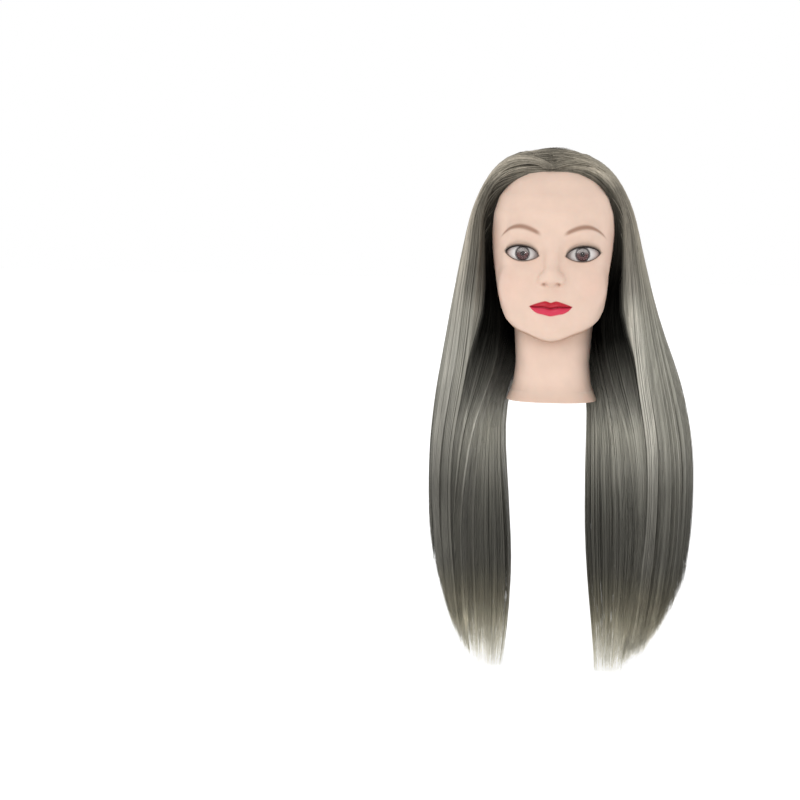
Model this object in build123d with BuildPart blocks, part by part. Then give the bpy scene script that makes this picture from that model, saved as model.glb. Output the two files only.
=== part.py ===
"""Mannequin training head with long straight hair, for practising cutting and styling.

A hollow soft-vinyl head shell stands on its cut neck. A rigid foam core fills it, a moulded plug
closes the neck, and a blind socket in the plug takes the post of a salon stand. Two acrylic eye
inserts sit behind the eyelids, with glued lash strips. The rooted hair is parted into two hanging
curtains, and each is three sections: front, side, back.

Frame: millimetres, +Z up, the face looks along -Y, the head's own left is +X. The origin is the
centre of the socket's mouth, on the plane that the neck is cut to.
"""

import os
from math import cos, pi, sin

from build123d import *

# ---- driving dimensions --------------------------------------------------------------------------
WALL = 4.0                      # vinyl wall of the head shell
GAP = 0.3                       # clearance between neighbouring pieces
NECK_TOP = 150.0                # height at which the neck ends, inside the skull

SOCKET_BORE_R = 9.0             # takes a post of 18 mm
SOCKET_DEPTH = 60.0             # how far the post goes in
SOCKET_WALL = 3.5
SOCKET_END = 5.0                # closed end above the bore
SOCKET_FLANGE_R = 19.0
SOCKET_FLANGE_T = 3.0
SOCKET_RIB_T = 2.5              # ribs that stop the socket turning in the foam
SOCKET_RIB_R = 17.0
SOCKET_RIB_TOP = 54.0
PLUG_T = 14.0                   # thickness of the neck plug
PLUG_TOP_SECTION = (45.4, 2.6, -48.0, 54.4)   # the neck's section there, as in the tables below
PLUG_VENT_R = 2.5               # vent holes left by moulding
PLUG_VENT_RING_R = 30.0

EYE_X = 29.3                    # centre of an eye insert's sphere, from the midline
EYE_Y = -55.0
EYE_Z = 168.0
EYE_R = 26.0
EYE_WALL = 3.0
EYE_RIM_R = 22.8                # radius of the insert's round edge
GAZE = 9.0                      # degrees each eye turns outwards
IRIS_R = 7.5
IRIS_T = 1.2
IRIS_DISH_R = 14.0              # radius of the hollow in the iris's front face
IRIS_DISH_DEPTH = 0.5
CORNEA_R = 15.1                 # sphere radius of the clear dome
CORNEA_RISE = 1.6               # how far the clear dome stands past the white
LID_T = 2.0                     # eyelid thickness over the insert
LID_X = 33.7                    # centre of the opening between the lids
LID_HALF_W = 18.5
LID_UP = 11.0
LID_DOWN = 8.0
LID_CORNER_DROP = 2.0           # how far the inner corner lies below the outer one
EYE_SOCKET_RADII = (25.0, 13.0, 17.0)   # the shallow hollow around each eye
EYE_SOCKET_Y = -94.0
EYE_BACKING_RADII = (30.0, 22.0)        # the vinyl is thicker within this ellipse around each eye
EYE_BACKING_Y = -79.0                   # back face of that thicker vinyl
EYE_RELIEF_Y = -74.0                    # the foam stops here, behind the front of the insert
EAR_CENTRE = (73.0, 14.0, 150.0)
EAR_RADII = (15.0, 29.0)
EAR_HALF_T = 5.0
EAR_BOWL_RADII = (7.5, 15.5)
EAR_BOWL_DEPTH = 4.0
EAR_ROOM_X = 85.0               # the hair stays clear of the ears out to this distance from the midline
EAR_ROOM_CENTRE = (14.0, 151.0)
EAR_ROOM_RADII = (21.0, 35.0)
LASH_T = 0.8
LASH_W = 3.2

UPPER_LIP = ((0, -86.0, 113.0), (23.5, 10.0, 4.6))     # centre and radii
LOWER_LIP = ((0, -86.5, 105.6), (18.5, 10.5, 5.2))

HAIR_HEM = -320.0               # lowest hair tips
HAIR_TOP = 290.5
HAIRLINE_HALF_W = {-1: 70.0, 1: 66.5}   # half width of the arch that frames the face, right and left
HAIRLINE_TOP = 258.5
HAIRLINE_SPRING = 180.0         # height at which the arch springs from its straight sides
HAIRLINE_ROUND = 2.9            # squareness of the arch, 2 is an ellipse
FRONT_SIDE_Y = 2.0              # where the front section meets the side section
SIDE_BACK_Y = 46.0              # where the side section meets the back section

# Horizontal sections of the head and neck: height, half width, y of the widest place, front y, back y.
HEAD_SECTIONS = [
    (71.5, 10.0, -72.0, -83.0, -62.0),
    (76.0, 23.5, -68.0, -88.5, -50.0),
    (84.0, 41.0, -58.0, -91.0, -34.0),
    (94.0, 52.0, -42.0, -91.5, -10.0),
    (106.0, 58.0, -28.0, -90.0, 20.0),
    (122.0, 63.0, -14.0, -89.5, 54.0),
    (145.0, 67.5, 0.0, -89.5, 80.0),
    (169.0, 71.5, 8.0, -88.5, 95.0),
    (192.5, 74.0, 12.0, -89.0, 101.5),
    (212.5, 74.5, 14.0, -87.0, 103.0),
    (231.5, 70.5, 14.0, -78.5, 99.5),
    (248.5, 60.0, 13.0, -63.0, 88.0),
    (262.0, 46.0, 12.0, -44.0, 70.0),
    (272.5, 28.0, 11.0, -18.0, 43.0),
    (278.5, 6.0, 11.0, 4.0, 17.0),
]
NECK_SECTIONS = [
    (0.0, 52.0, 2.0, -54.0, 58.0),
    (6.0, 49.0, 2.0, -51.0, 56.0),
    (18.0, 44.5, 3.0, -47.0, 54.0),
    (42.0, 42.0, 4.0, -45.0, 54.0),
    (66.0, 43.5, 6.0, -46.0, 57.0),
    (92.0, 46.0, 9.0, -43.0, 61.0),
    (120.0, 48.0, 12.0, -36.0, 66.0),
    (NECK_TOP, 50.0, 14.0, -30.0, 70.0),
]
# Horizontal sections of the nose: height, half width, y of the tip, y of the root inside the face.
NOSE_SECTIONS = [
    (201.0, 13.0, -86.5, -72.0),
    (187.5, 11.0, -89.5, -72.0),
    (178.0, 10.0, -91.5, -74.0),
    (165.0, 11.0, -96.5, -76.0),
    (152.0, 13.0, -103.0, -78.0),
    (144.0, 15.0, -106.5, -80.0),
    (137.5, 15.0, -104.5, -80.0),
    (133.0, 11.0, -98.0, -82.0),
]
# Horizontal sections of the whole hair mass: height, right edge, left edge, front y, back y.
HAIR_SECTIONS = [
    (HAIR_HEM, -66.0, 72.0, 12.0, 30.0),
    (-296.0, -95.0, 108.0, -2.0, 40.0),
    (-256.0, -118.0, 138.0, -14.0, 48.0),
    (-206.0, -132.0, 161.0, -24.0, 54.0),
    (-136.0, -143.0, 168.0, -32.0, 60.0),
    (-56.0, -142.0, 166.0, -38.0, 66.0),
    (15.0, -135.0, 151.0, -44.0, 76.0),
    (75.0, -125.0, 128.0, -50.0, 92.0),
    (125.0, -116.0, 111.5, -56.0, 105.0),
    (175.0, -107.0, 99.5, -68.0, 113.0),
    (210.0, -100.0, 92.0, -82.0, 114.5),
    (238.5, -88.5, 80.0, -84.0, 108.0),
    (260.5, -77.0, 66.0, -64.0, 93.0),
    (276.0, -62.0, 47.0, -40.0, 70.0),
    (286.0, -42.0, 28.0, -15.0, 42.0),
    (HAIR_TOP, -18.0, 8.0, 4.0, 20.0),
]
# Inner edge of each curtain below the parting: distance from the midline, height. It keeps clear of the
# neck's foot, so that the head can stand on a plate or a shelf.
CURTAIN_INNER = [(53.5, 20.0), (53.5, -28.0), (46.0, -70.0), (46.0, -340.0)]
CURTAIN_PART_TOP = 96.0         # height at which the back of the hair divides over the nape
BELOW_HAIR = -340.0             # the openings are cut down to here
WINDOW_BACK_Y = 6.0             # how far back the opening in front of the face and neck reaches
# Sides of that opening below the arch: distance from the midline, height.
WINDOW_SIDE = [(71.0, 150.0), (84.0, 112.0), (96.0, 40.0), (109.0, -40.0), (113.0, -150.0), (90.0, BELOW_HAIR)]
ROUND_FRONT, ROUND_BACK = 2.5, 2.15   # squareness of a section's front and back halves, 2 is an ellipse
SECTION_POINTS = 24
ARCH_POINTS = 10                # from the arch's spring to its top


def outline(half_width, widest_y, front_y, back_y, inset=0.0, middle_x=0.0):
    """Points of one horizontal section, squarer in front than an ellipse."""
    points = []
    for step in range(SECTION_POINTS):
        angle = 2 * pi * step / SECTION_POINTS
        c, s = cos(angle), sin(angle)
        roundness = ROUND_FRONT if s < 0 else ROUND_BACK
        depth = widest_y - front_y if s < 0 else back_y - widest_y
        x = (half_width - inset) * abs(c) ** (2 / roundness) * (1 if c >= 0 else -1)
        y = (depth - inset) * abs(s) ** (2 / roundness) * (1 if s >= 0 else -1)
        points.append((middle_x + x, widest_y + y))
    return points


def arch():
    """Points of the hairline's arch, from its right spring over the top to its left spring."""
    points = []
    for step in range(-ARCH_POINTS, ARCH_POINTS + 1):
        angle = 0.5 * pi * step / ARCH_POINTS
        across, up = abs(sin(angle)) ** (2 / HAIRLINE_ROUND), cos(angle) ** (2 / HAIRLINE_ROUND)
        x = HAIRLINE_HALF_W[1] * across if step >= 0 else -HAIRLINE_HALF_W[-1] * across
        points.append((x, HAIRLINE_SPRING + (HAIRLINE_TOP - HAIRLINE_SPRING) * up))
    return points


def stack(sections, inset=0.0):
    """A closed solid lofted through horizontal sections, each drawn inset by the same amount."""
    with BuildPart() as form:
        for height, half_width, widest_y, front_y, back_y in sections:
            with BuildSketch(Plane.XY.offset(height)):
                with BuildLine():
                    Spline(outline(half_width, widest_y, front_y, back_y, inset), periodic=True)
                make_face()
        loft()
    return form.part


def ellipsoid(centre, radii):
    """An ellipsoid with its axes along X, Y and Z."""
    with BuildPart() as form:
        Sphere(radius=1)
        scale(by=radii)
    return form.part.moved(Location(centre))


def eye_balls(radius):
    """A sphere at each eye insert's place."""
    balls = []
    for side in (-1, 1):
        with BuildPart() as ball:
            with Locations((side * EYE_X, EYE_Y, EYE_Z)):
                Sphere(radius)
        balls.append(ball.part)
    return balls


def eye_plane(side):
    """The plane through an eye insert's sphere centre that faces where the eye looks."""
    turn = side * GAZE * pi / 180
    return Plane(origin=(side * EYE_X, EYE_Y, EYE_Z), x_dir=(cos(turn), sin(turn), 0),
                 z_dir=(sin(turn), -cos(turn), 0))


def cornea_rooms():
    """The room that each clear dome needs, a little larger than the dome."""
    rooms = []
    for side in (-1, 1):
        with BuildPart(eye_plane(side)) as room:
            with Locations((0, 0, EYE_R + CORNEA_RISE - CORNEA_R)):
                Sphere(CORNEA_R + 0.1)
        rooms.append(room.part)
    return rooms


def eye_fronts(back_y):
    """Elliptical blocks in front of the eyes, from a given depth forwards."""
    with BuildPart() as blocks:
        with BuildSketch(Plane.XZ.offset(-back_y)):
            with Locations((-LID_X, EYE_Z), (LID_X, EYE_Z)):
                Ellipse(*EYE_BACKING_RADII)
        extrude(amount=40.0)
    return blocks.part


def save(piece, name):
    piece.label = name
    export_step(piece, f"parts/{name}.step")


# ---- the head's outer form -----------------------------------------------------------------------
def nose():
    """The nose as a loft from the bridge down to the base, with a rounded section at each height."""
    with BuildPart() as form:
        for height, half_width, tip_y, root_y in NOSE_SECTIONS:
            depth = root_y - tip_y
            half = [(0.45 * half_width, tip_y + 0.08 * depth), (0.82 * half_width, tip_y + 0.35 * depth),
                    (half_width, tip_y + 0.75 * depth)]
            points = [(0, tip_y)] + half + [(0.9 * half_width, root_y), (0, root_y + 1)]
            points += [(-x, y) for x, y in reversed(half + [(0.9 * half_width, root_y)])]
            with BuildSketch(Plane.XY.offset(height)):
                with BuildLine():
                    Spline(points, periodic=True)
                make_face()
        loft()
    return form.part


def ear(side):
    """A rounded ear with a hollow, leaning back as a real ear does."""
    with BuildPart() as form:
        with BuildSketch(Plane.YZ):
            Ellipse(*EAR_RADII)
        extrude(amount=EAR_HALF_T, both=True)
        fillet(form.edges(), radius=0.6 * EAR_HALF_T)
        with BuildSketch(Plane.YZ.offset(EAR_HALF_T)):
            with Locations((-1.0, 3.0)):
                Ellipse(*EAR_BOWL_RADII)
        extrude(amount=-EAR_BOWL_DEPTH, mode=Mode.SUBTRACT)
    lean = Rotation(12.0, 0, side * 16.0)
    turned = form.part if side > 0 else form.part.mirror(Plane.YZ)
    return turned.moved(Location((side * EAR_CENTRE[0], EAR_CENTRE[1], EAR_CENTRE[2])) * lean)


def lid_openings():
    """Almond prisms that open the lids, pointed at both corners."""
    with BuildPart() as form:
        for side in (-1, 1):
            with BuildSketch(Plane.XZ.offset(40.0)):
                with BuildLine():
                    inner = (side * (LID_X - LID_HALF_W), EYE_Z - LID_CORNER_DROP)
                    outer = (side * (LID_X + LID_HALF_W), EYE_Z)
                    ThreePointArc(inner, (side * LID_X, EYE_Z + LID_UP), outer)
                    ThreePointArc(outer, (side * LID_X, EYE_Z - LID_DOWN), inner)
                make_face()
            extrude(amount=70.0)
    return form.part


head_form = stack(HEAD_SECTIONS) + stack(NECK_SECTIONS)
cavity_form = stack(HEAD_SECTIONS[1:-1], WALL) + stack(NECK_SECTIONS, WALL) - eye_fronts(EYE_BACKING_Y)

os.makedirs("parts", exist_ok=True)

# ---- head shell: vinyl skin with face, ears and neck ---------------------------------------------
face_form = head_form
for side in (-1, 1):
    face_form = face_form - ellipsoid((side * LID_X, EYE_SOCKET_Y, EYE_Z + 1.0), EYE_SOCKET_RADII)
for piece in (*eye_balls(EYE_R + GAP + LID_T), nose(), ellipsoid(*UPPER_LIP),
              ellipsoid(*LOWER_LIP), ear(-1), ear(1)):
    face_form = face_form + piece
head_shell = face_form - cavity_form
for ball in eye_balls(EYE_R + GAP):
    head_shell = head_shell - ball
head_shell = head_shell - lid_openings()
for room in cornea_rooms():
    head_shell = head_shell - room
head_shell = head_shell.solids().sort_by(SortBy.VOLUME)[-1]
save(head_shell, "head_shell")

# ---- neck plug: moulded disc that closes the neck ------------------------------------------------
with BuildPart() as neck_plug:
    with BuildSketch():
        with BuildLine():
            Spline(outline(*NECK_SECTIONS[0][1:], WALL + GAP), periodic=True)
        make_face()
    with BuildSketch(Plane.XY.offset(NECK_SECTIONS[1][0])):
        with BuildLine():
            Spline(outline(*NECK_SECTIONS[1][1:], WALL + GAP), periodic=True)
        make_face()
    with BuildSketch(Plane.XY.offset(PLUG_T)):
        with BuildLine():
            Spline(outline(*PLUG_TOP_SECTION, WALL + 2 * GAP), periodic=True)
        make_face()
    loft()
    Hole(radius=SOCKET_BORE_R + SOCKET_WALL + GAP / 2)
    with Locations((0, 0, 0)):
        Cylinder(SOCKET_FLANGE_R + GAP, SOCKET_FLANGE_T, align=(Align.CENTER, Align.CENTER, Align.MIN),
                 mode=Mode.SUBTRACT)
    with PolarLocations(PLUG_VENT_RING_R, 4, start_angle=45):
        Hole(radius=PLUG_VENT_R)
save(neck_plug.part, "neck_plug")

# ---- post socket: blind bush that takes the stand's post -----------------------------------------
with BuildPart() as post_socket:
    socket_r = SOCKET_BORE_R + SOCKET_WALL
    with BuildSketch():
        Circle(socket_r)
    extrude(amount=SOCKET_DEPTH + SOCKET_END)
    fillet(post_socket.edges().group_by(Axis.Z)[-1], radius=2.5)
    with BuildSketch():
        Circle(SOCKET_FLANGE_R)
    extrude(amount=SOCKET_FLANGE_T)
    with BuildSketch(Plane.XY.offset(PLUG_T + GAP)):
        with PolarLocations(0, 2):
            Rectangle(2 * SOCKET_RIB_R, SOCKET_RIB_T)
        Rectangle(SOCKET_RIB_T, 2 * SOCKET_RIB_R)
    extrude(amount=SOCKET_RIB_TOP - PLUG_T - GAP)
    with BuildSketch():
        Circle(SOCKET_BORE_R)
    extrude(amount=SOCKET_DEPTH, mode=Mode.SUBTRACT)
save(post_socket.part, "post_socket")

# ---- foam core: fills the shell above the plug ---------------------------------------------------
with BuildPart() as socket_room:
    room_z = PLUG_T - 1             # starts inside the plug, so that no skin of foam is left
    room_base = Plane.XY.offset(room_z)
    with BuildSketch(room_base):
        Circle(SOCKET_BORE_R + SOCKET_WALL + GAP)
    extrude(amount=SOCKET_DEPTH + SOCKET_END + GAP - room_z)
    with BuildSketch(room_base):
        Rectangle(2 * (SOCKET_RIB_R + GAP), SOCKET_RIB_T + 2 * GAP)
        Rectangle(SOCKET_RIB_T + 2 * GAP, 2 * (SOCKET_RIB_R + GAP))
    extrude(amount=SOCKET_RIB_TOP + GAP - room_z)
with BuildPart() as below_plug:
    with BuildSketch():
        Rectangle(200, 200)
    extrude(amount=PLUG_T + GAP)
core_form = stack(HEAD_SECTIONS[1:-1], WALL + GAP) + stack(NECK_SECTIONS, WALL + GAP)
foam_core = core_form - below_plug.part - socket_room.part - eye_fronts(EYE_RELIEF_Y)
for room in (*eye_balls(EYE_R + GAP), *cornea_rooms()):
    foam_core = foam_core - room
foam_core = foam_core.solids().sort_by(SortBy.VOLUME)[-1]
save(foam_core, "foam_core")

# ---- eye inserts: white dome, iris disc and clear dome, and the lash strips ----------------------
for side, tag in ((-1, "right"), (1, "left")):
    look = eye_plane(side)
    iris_z = (EYE_R ** 2 - IRIS_R ** 2) ** 0.5 - IRIS_T
    rim_z = (EYE_R ** 2 - EYE_RIM_R ** 2) ** 0.5
    with BuildPart() as white:
        with BuildSketch(Plane.XZ):
            with BuildLine():
                outer_arc = CenterArc((0, 0), EYE_R, 0, 90)
                Line(outer_arc @ 1, (0, EYE_R - EYE_WALL))
                inner_arc = CenterArc((0, 0), EYE_R - EYE_WALL, 0, 90)
                Line(inner_arc @ 0, outer_arc @ 0)
            make_face()
            with Locations((0, rim_z / 2)):
                Rectangle(3 * EYE_R, rim_z, mode=Mode.SUBTRACT)
            with Locations((0, iris_z + EYE_R / 2)):
                Rectangle(2 * (IRIS_R + 0.05), EYE_R, mode=Mode.SUBTRACT)
        revolve(axis=Axis.Z)
    save(white.part.moved(look.location), f"eye_white_{tag}")

    with BuildPart() as iris:
        with BuildSketch(Plane.XY.offset(iris_z + 0.05)):
            Circle(IRIS_R)
        extrude(amount=IRIS_T - 0.1)
        with BuildSketch(Plane.XZ):
            dish_z = iris_z + IRIS_T + IRIS_DISH_R - IRIS_DISH_DEPTH
            with Locations((0, dish_z)):
                Circle(IRIS_DISH_R)
            with Locations((-IRIS_DISH_R, dish_z)):
                Rectangle(2 * IRIS_DISH_R, 2 * IRIS_DISH_R, mode=Mode.SUBTRACT)
        revolve(axis=Axis.Z, mode=Mode.SUBTRACT)
    save(iris.part.moved(look.location), f"iris_{tag}")

    with BuildPart() as cornea:
        with Locations((0, 0, EYE_R + CORNEA_RISE - CORNEA_R)):
            Sphere(CORNEA_R)
        Sphere(EYE_R + 0.02, mode=Mode.SUBTRACT)
        with BuildSketch(Plane.XY.offset(iris_z + IRIS_T + 0.02)):
            Circle(IRIS_R - 0.05)
        extrude(amount=IRIS_T)
    save(cornea.part.moved(look.location), f"cornea_{tag}")

# ---- lash strips: curved bands that follow the edges of the lids ---------------------------------
lash_outer = eye_balls(EYE_R + GAP + LID_T + LASH_T)
lash_inner = eye_balls(EYE_R + GAP + LID_T)
for side, tag, outer_ball, inner_ball in zip((-1, 1), ("right", "left"), lash_outer, lash_inner):
    skin = outer_ball - inner_ball - face_form
    for rise, width, label in ((LID_UP, LASH_W, "upper"), (-LID_DOWN, -LASH_W / 2, "lower")):
        inner = (side * (LID_X - LID_HALF_W), EYE_Z - LID_CORNER_DROP)
        outer = (side * (LID_X + LID_HALF_W), EYE_Z)
        far_inner = (inner[0], inner[1] + 0.4 * width)
        far_outer = (outer[0] + side * 0.6 * abs(width), outer[1] + 0.5 * width)
        with BuildPart() as band:
            with BuildSketch(Plane.XZ.offset(60.0)):
                with BuildLine():
                    ThreePointArc(inner, (side * LID_X, EYE_Z + rise), outer)
                    Line(outer, far_outer)
                    ThreePointArc(far_outer, (side * LID_X, EYE_Z + rise + width), far_inner)
                    Line(far_inner, inner)
                make_face()
            extrude(amount=60.0)
        strip = band.part & skin
        save(strip.solids().sort_by(SortBy.VOLUME)[-1], f"lash_strip_{label}_{tag}")

# ---- hair: rooted fibres in three sections a side, parted along the middle -----------------------
with BuildPart() as hair_mass:
    for height, right_x, left_x, front_y, back_y in HAIR_SECTIONS:
        middle_y = 0.5 * (front_y + back_y)
        with BuildSketch(Plane.XY.offset(height)):
            with BuildLine():
                Spline(outline(0.5 * (left_x - right_x), middle_y, front_y, back_y,
                               middle_x=0.5 * (left_x + right_x)), periodic=True)
            make_face()
    loft()

with BuildPart() as face_window:
    with BuildSketch(Plane.XZ.offset(-WINDOW_BACK_Y)):
        with BuildLine():
            crown = Spline(arch())
            left_side = Polyline(crown @ 1, *WINDOW_SIDE)
            right_side = Polyline(crown @ 0, *[(-x, z) for x, z in WINDOW_SIDE])
            Line(left_side @ 1, right_side @ 1)
        make_face()
    extrude(amount=200.0)

with BuildPart() as nape_window:
    with BuildSketch(Plane.XZ.offset(-WINDOW_BACK_Y + 1.0)):
        with BuildLine():
            Polyline((0, CURTAIN_PART_TOP), *CURTAIN_INNER,
                     *[(-x, z) for x, z in reversed(CURTAIN_INNER)], (0, CURTAIN_PART_TOP))
        make_face()
    extrude(amount=-200.0)

with BuildPart() as ear_rooms:
    with BuildSketch(Plane.YZ.offset(-EAR_ROOM_X)):
        with Locations(EAR_ROOM_CENTRE):
            Ellipse(*EAR_ROOM_RADII)
    extrude(amount=2 * EAR_ROOM_X)

hair = hair_mass.part - face_window.part - nape_window.part - ear_rooms.part
hair = hair - stack(HEAD_SECTIONS, -GAP) - stack(NECK_SECTIONS, -GAP)

sections = (("front", -200.0, FRONT_SIDE_Y), ("side", FRONT_SIDE_Y, SIDE_BACK_Y),
            ("back", SIDE_BACK_Y, 200.0))
for side, tag in ((-1, "right"), (1, "left")):
    for label, low_y, high_y in sections:
        with BuildPart() as zone:
            with Locations((side * 125.0, 0.5 * (low_y + high_y), 0)):
                Box(250.0, high_y - low_y, 700.0)
        lock = hair & zone.part
        save(lock.solids().sort_by(SortBy.VOLUME)[-1], f"hair_{label}_{tag}")
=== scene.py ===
"""Looks of the mannequin training head: painted vinyl face, glass-like eyes, lashes and long straight hair.

Lengths are millimetres in the row's frame until a mesh is made: +Z up, the face looks along -Y, and the
head's own left is +X. The head's skin is a grid of level rays cast onto one smooth implicit form. Each hair
strand runs from its root over the dome of the head to the temples, then hangs through level sections.
"""

import math

import bpy
import numpy as np
from mathutils import Matrix, Vector


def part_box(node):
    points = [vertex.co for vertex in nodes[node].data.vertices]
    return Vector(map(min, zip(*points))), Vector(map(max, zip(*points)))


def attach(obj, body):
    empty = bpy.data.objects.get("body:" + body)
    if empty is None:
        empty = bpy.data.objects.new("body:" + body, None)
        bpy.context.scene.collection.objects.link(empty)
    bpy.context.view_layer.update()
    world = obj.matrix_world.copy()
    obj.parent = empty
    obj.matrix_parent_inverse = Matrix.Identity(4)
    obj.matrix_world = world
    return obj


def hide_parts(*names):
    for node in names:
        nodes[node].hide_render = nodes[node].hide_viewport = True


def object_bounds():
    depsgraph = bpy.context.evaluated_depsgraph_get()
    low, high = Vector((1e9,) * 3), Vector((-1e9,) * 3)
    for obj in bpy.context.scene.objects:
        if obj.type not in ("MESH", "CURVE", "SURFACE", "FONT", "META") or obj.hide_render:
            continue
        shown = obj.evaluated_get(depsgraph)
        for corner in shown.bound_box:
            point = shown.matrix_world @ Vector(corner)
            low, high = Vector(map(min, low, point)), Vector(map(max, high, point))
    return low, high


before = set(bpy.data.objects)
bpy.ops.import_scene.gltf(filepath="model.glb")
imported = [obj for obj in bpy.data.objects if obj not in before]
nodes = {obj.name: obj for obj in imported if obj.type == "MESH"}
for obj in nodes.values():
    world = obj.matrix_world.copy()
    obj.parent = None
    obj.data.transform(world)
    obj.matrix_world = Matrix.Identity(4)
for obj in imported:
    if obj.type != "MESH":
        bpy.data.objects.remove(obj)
cad_low, cad_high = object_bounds()

MM = 0.001
SIDES = ((-1, "right"), (1, "left"))
rng = np.random.default_rng(20)

# ---- driving dimensions, the same as the solids' ----
EYE_R = 26.0  # sphere radius of an eye insert
IRIS_R = 7.5
CORNEA_R = 15.1
CORNEA_RISE = 1.6
LID_T = 2.3  # from the insert's sphere to the outside of the lids
LID_X, LID_Z = 33.7, 168.0  # centre of the opening between the lids
LID_HALF_W = 18.3
LID_UP, LID_DOWN = 8.0, 7.8  # height of the opening above and below its corners
MOUTH_Z = 109.5  # line between the lips
MOUTH_HALF_W = 23.6
LIP_UP, LIP_DOWN = 7.0, 8.6  # height of each lip at its fullest
TOP_LIP_RISE, BOTTOM_LIP_RISE = 3.6, 4.8  # how far each lip stands out
LIP_CREASE = 2.6  # depth of the line between the lips
# Each brow: distance out and height of points along its middle.
BROW_POINTS = ((13.5, 190.0), (24.0, 195.0), (36.0, 198.0), (47.0, 195.5), (58.5, 185.5))
BROW_T = 5.2
# The hairline: degrees from straight ahead, and height.
HAIRLINE = (
    (0, 258.5), (20, 258.3), (36, 256.8), (47, 251.5), (55, 246), (60, 239), (62, 228), (64, 215), (69, 198),
    (77, 177), (88, 161), (98, 150), (104, 140), (115, 120), (130, 104), (150, 96), (180, 95),
)
LEFT_FURTHER_IN = 1.08  # the hairline comes further in on the left

# Level sections of the head and the neck: height, half width, y of the widest place, front y, back y.
HEAD_SECTIONS = (
    (69.8, 0.6, -72, -72.6, -71.4), (71.5, 10, -72, -83, -62), (76, 23.5, -68, -88.5, -50),
    (84, 41, -58, -91, -34), (94, 52, -42, -91.5, -10), (106, 58, -28, -90, 20),
    (122, 63, -14, -89.5, 54), (145, 67.5, 0, -89.5, 80), (169, 71.5, 8, -88.5, 95),
    (192.5, 74, 12, -89, 101.5), (212.5, 74.5, 14, -87, 103), (231.5, 70.5, 14, -78.5, 99.5),
    (248.5, 60, 13, -63, 88), (262, 46, 12, -44, 70), (272.5, 28, 11, -18, 43),
    (278.5, 6, 11, 4, 17), (279.2, 0.6, 11, 10.4, 11.6),
)
NECK_SECTIONS = (
    (0, 52, 2, -54, 58), (6, 49, 2, -51, 56), (18, 44.5, 3, -47, 54),
    (42, 42, 4, -45, 54), (66, 43.5, 6, -46, 57), (92, 46, 9, -43, 61),
    (120, 48, 12, -36, 66), (150, 50, 14, -30, 70),
)
ROUND_FRONT, ROUND_BACK = 2.5, 2.15  # powers of the sections' curves, 2 being an ellipse


# ---- small tools ----
def clamp(value):
    return np.clip(value, 0, 1)


def ramp(low, high, value):
    """0 at low, 1 at high, eased between them."""
    t = clamp((value - low) / (high - low))
    return t * t * (3 - 2 * t)


def mix(a, b, t):
    return a + (b - a) * t


def smooth_min(a, b, k):
    """The lesser of two distances, rounded where they are closer than k."""
    h = clamp(0.5 + 0.5 * (b - a) / k)
    return mix(b, a, h) - k * h * (1 - h)


def smooth_max(a, b, k):
    return -smooth_min(-a, -b, k)


def fine_table(rows, blur=2.0, step=0.25):
    """A table's columns read off at fine equal heights and rounded where its rows meet."""
    rows = np.array(rows, float)
    levels = np.arange(rows[0, 0] - 4 * blur, rows[-1, 0] + 4 * blur, step)
    reach = np.arange(-3 * blur, 3 * blur + step, step)
    weights = np.exp(-0.5 * (reach / blur) ** 2)
    weights /= weights.sum()
    columns = []
    for column in rows.T[1:]:
        values = np.interp(levels, rows[:, 0], column)
        padded = np.pad(values, len(reach) // 2, mode="edge")
        columns.append(np.convolve(padded, weights, mode="valid"))
    return levels, columns


def new_mesh(name, points, faces):
    """A smooth mesh object of points in millimetres, with faces that all have as many corners."""
    points = np.asarray(points, np.float32) * MM
    faces = np.asarray(faces, np.int32)
    count, corners = faces.shape
    mesh = bpy.data.meshes.new(name)
    mesh.vertices.add(len(points))
    mesh.vertices.foreach_set("co", points.ravel())
    mesh.loops.add(faces.size)
    mesh.loops.foreach_set("vertex_index", faces.ravel())
    mesh.polygons.add(count)
    mesh.polygons.foreach_set("loop_start", np.arange(0, faces.size, corners, dtype=np.int32))
    mesh.update(calc_edges=True)
    mesh.validate()
    mesh.polygons.foreach_set("use_smooth", [True] * len(mesh.polygons))
    return placed(name, mesh)


def placed(name, data):
    """An object of a mesh, lamp or camera, in the scene."""
    made = bpy.data.objects.new(name, data)
    bpy.context.scene.collection.objects.link(made)
    return made


def paint(piece, colours):
    """A colour for each point of the mesh, in linear light."""
    layer = piece.data.color_attributes.new("paint", "FLOAT_COLOR", "POINT")
    rgba = np.ones((len(colours), 4), np.float32)
    rgba[:, :3] = colours
    layer.data.foreach_set("color", rgba.ravel())


def measure(piece, name, values):
    """A number for each point of the mesh."""
    layer = piece.data.attributes.new(name, "FLOAT", "POINT")
    layer.data.foreach_set("value", np.asarray(values, np.float32))


def srgb(*values):
    """Linear light from display values of 0 to 255."""
    v = np.array(values, float) / 255
    return np.where(v <= 0.04045, v / 12.92, ((v + 0.055) / 1.055) ** 2.4)


def near(value, width):
    """1 where a value is 0, falling off over a width."""
    return np.exp(-(value / width) ** 2)


# ---- the head's implicit form ----
head_table = fine_table(HEAD_SECTIONS)
neck_table = fine_table(NECK_SECTIONS)


def section(table, z):
    """Half width, middle, front and back of a form at each height."""
    levels, columns = table
    return [np.interp(z, levels, column) for column in columns]


def roundness(x, y, outline):
    """1 on a level section's outline, less inside it and more outside it."""
    half, middle, front, back = outline
    dy = y - middle
    depth = np.maximum(np.where(dy < 0, middle - front, back - middle), 0.3)
    n = np.where(dy < 0, ROUND_FRONT, ROUND_BACK)
    return ((np.abs(x) / half) ** n + (np.abs(dy) / depth) ** n) ** (1 / n)


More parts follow.
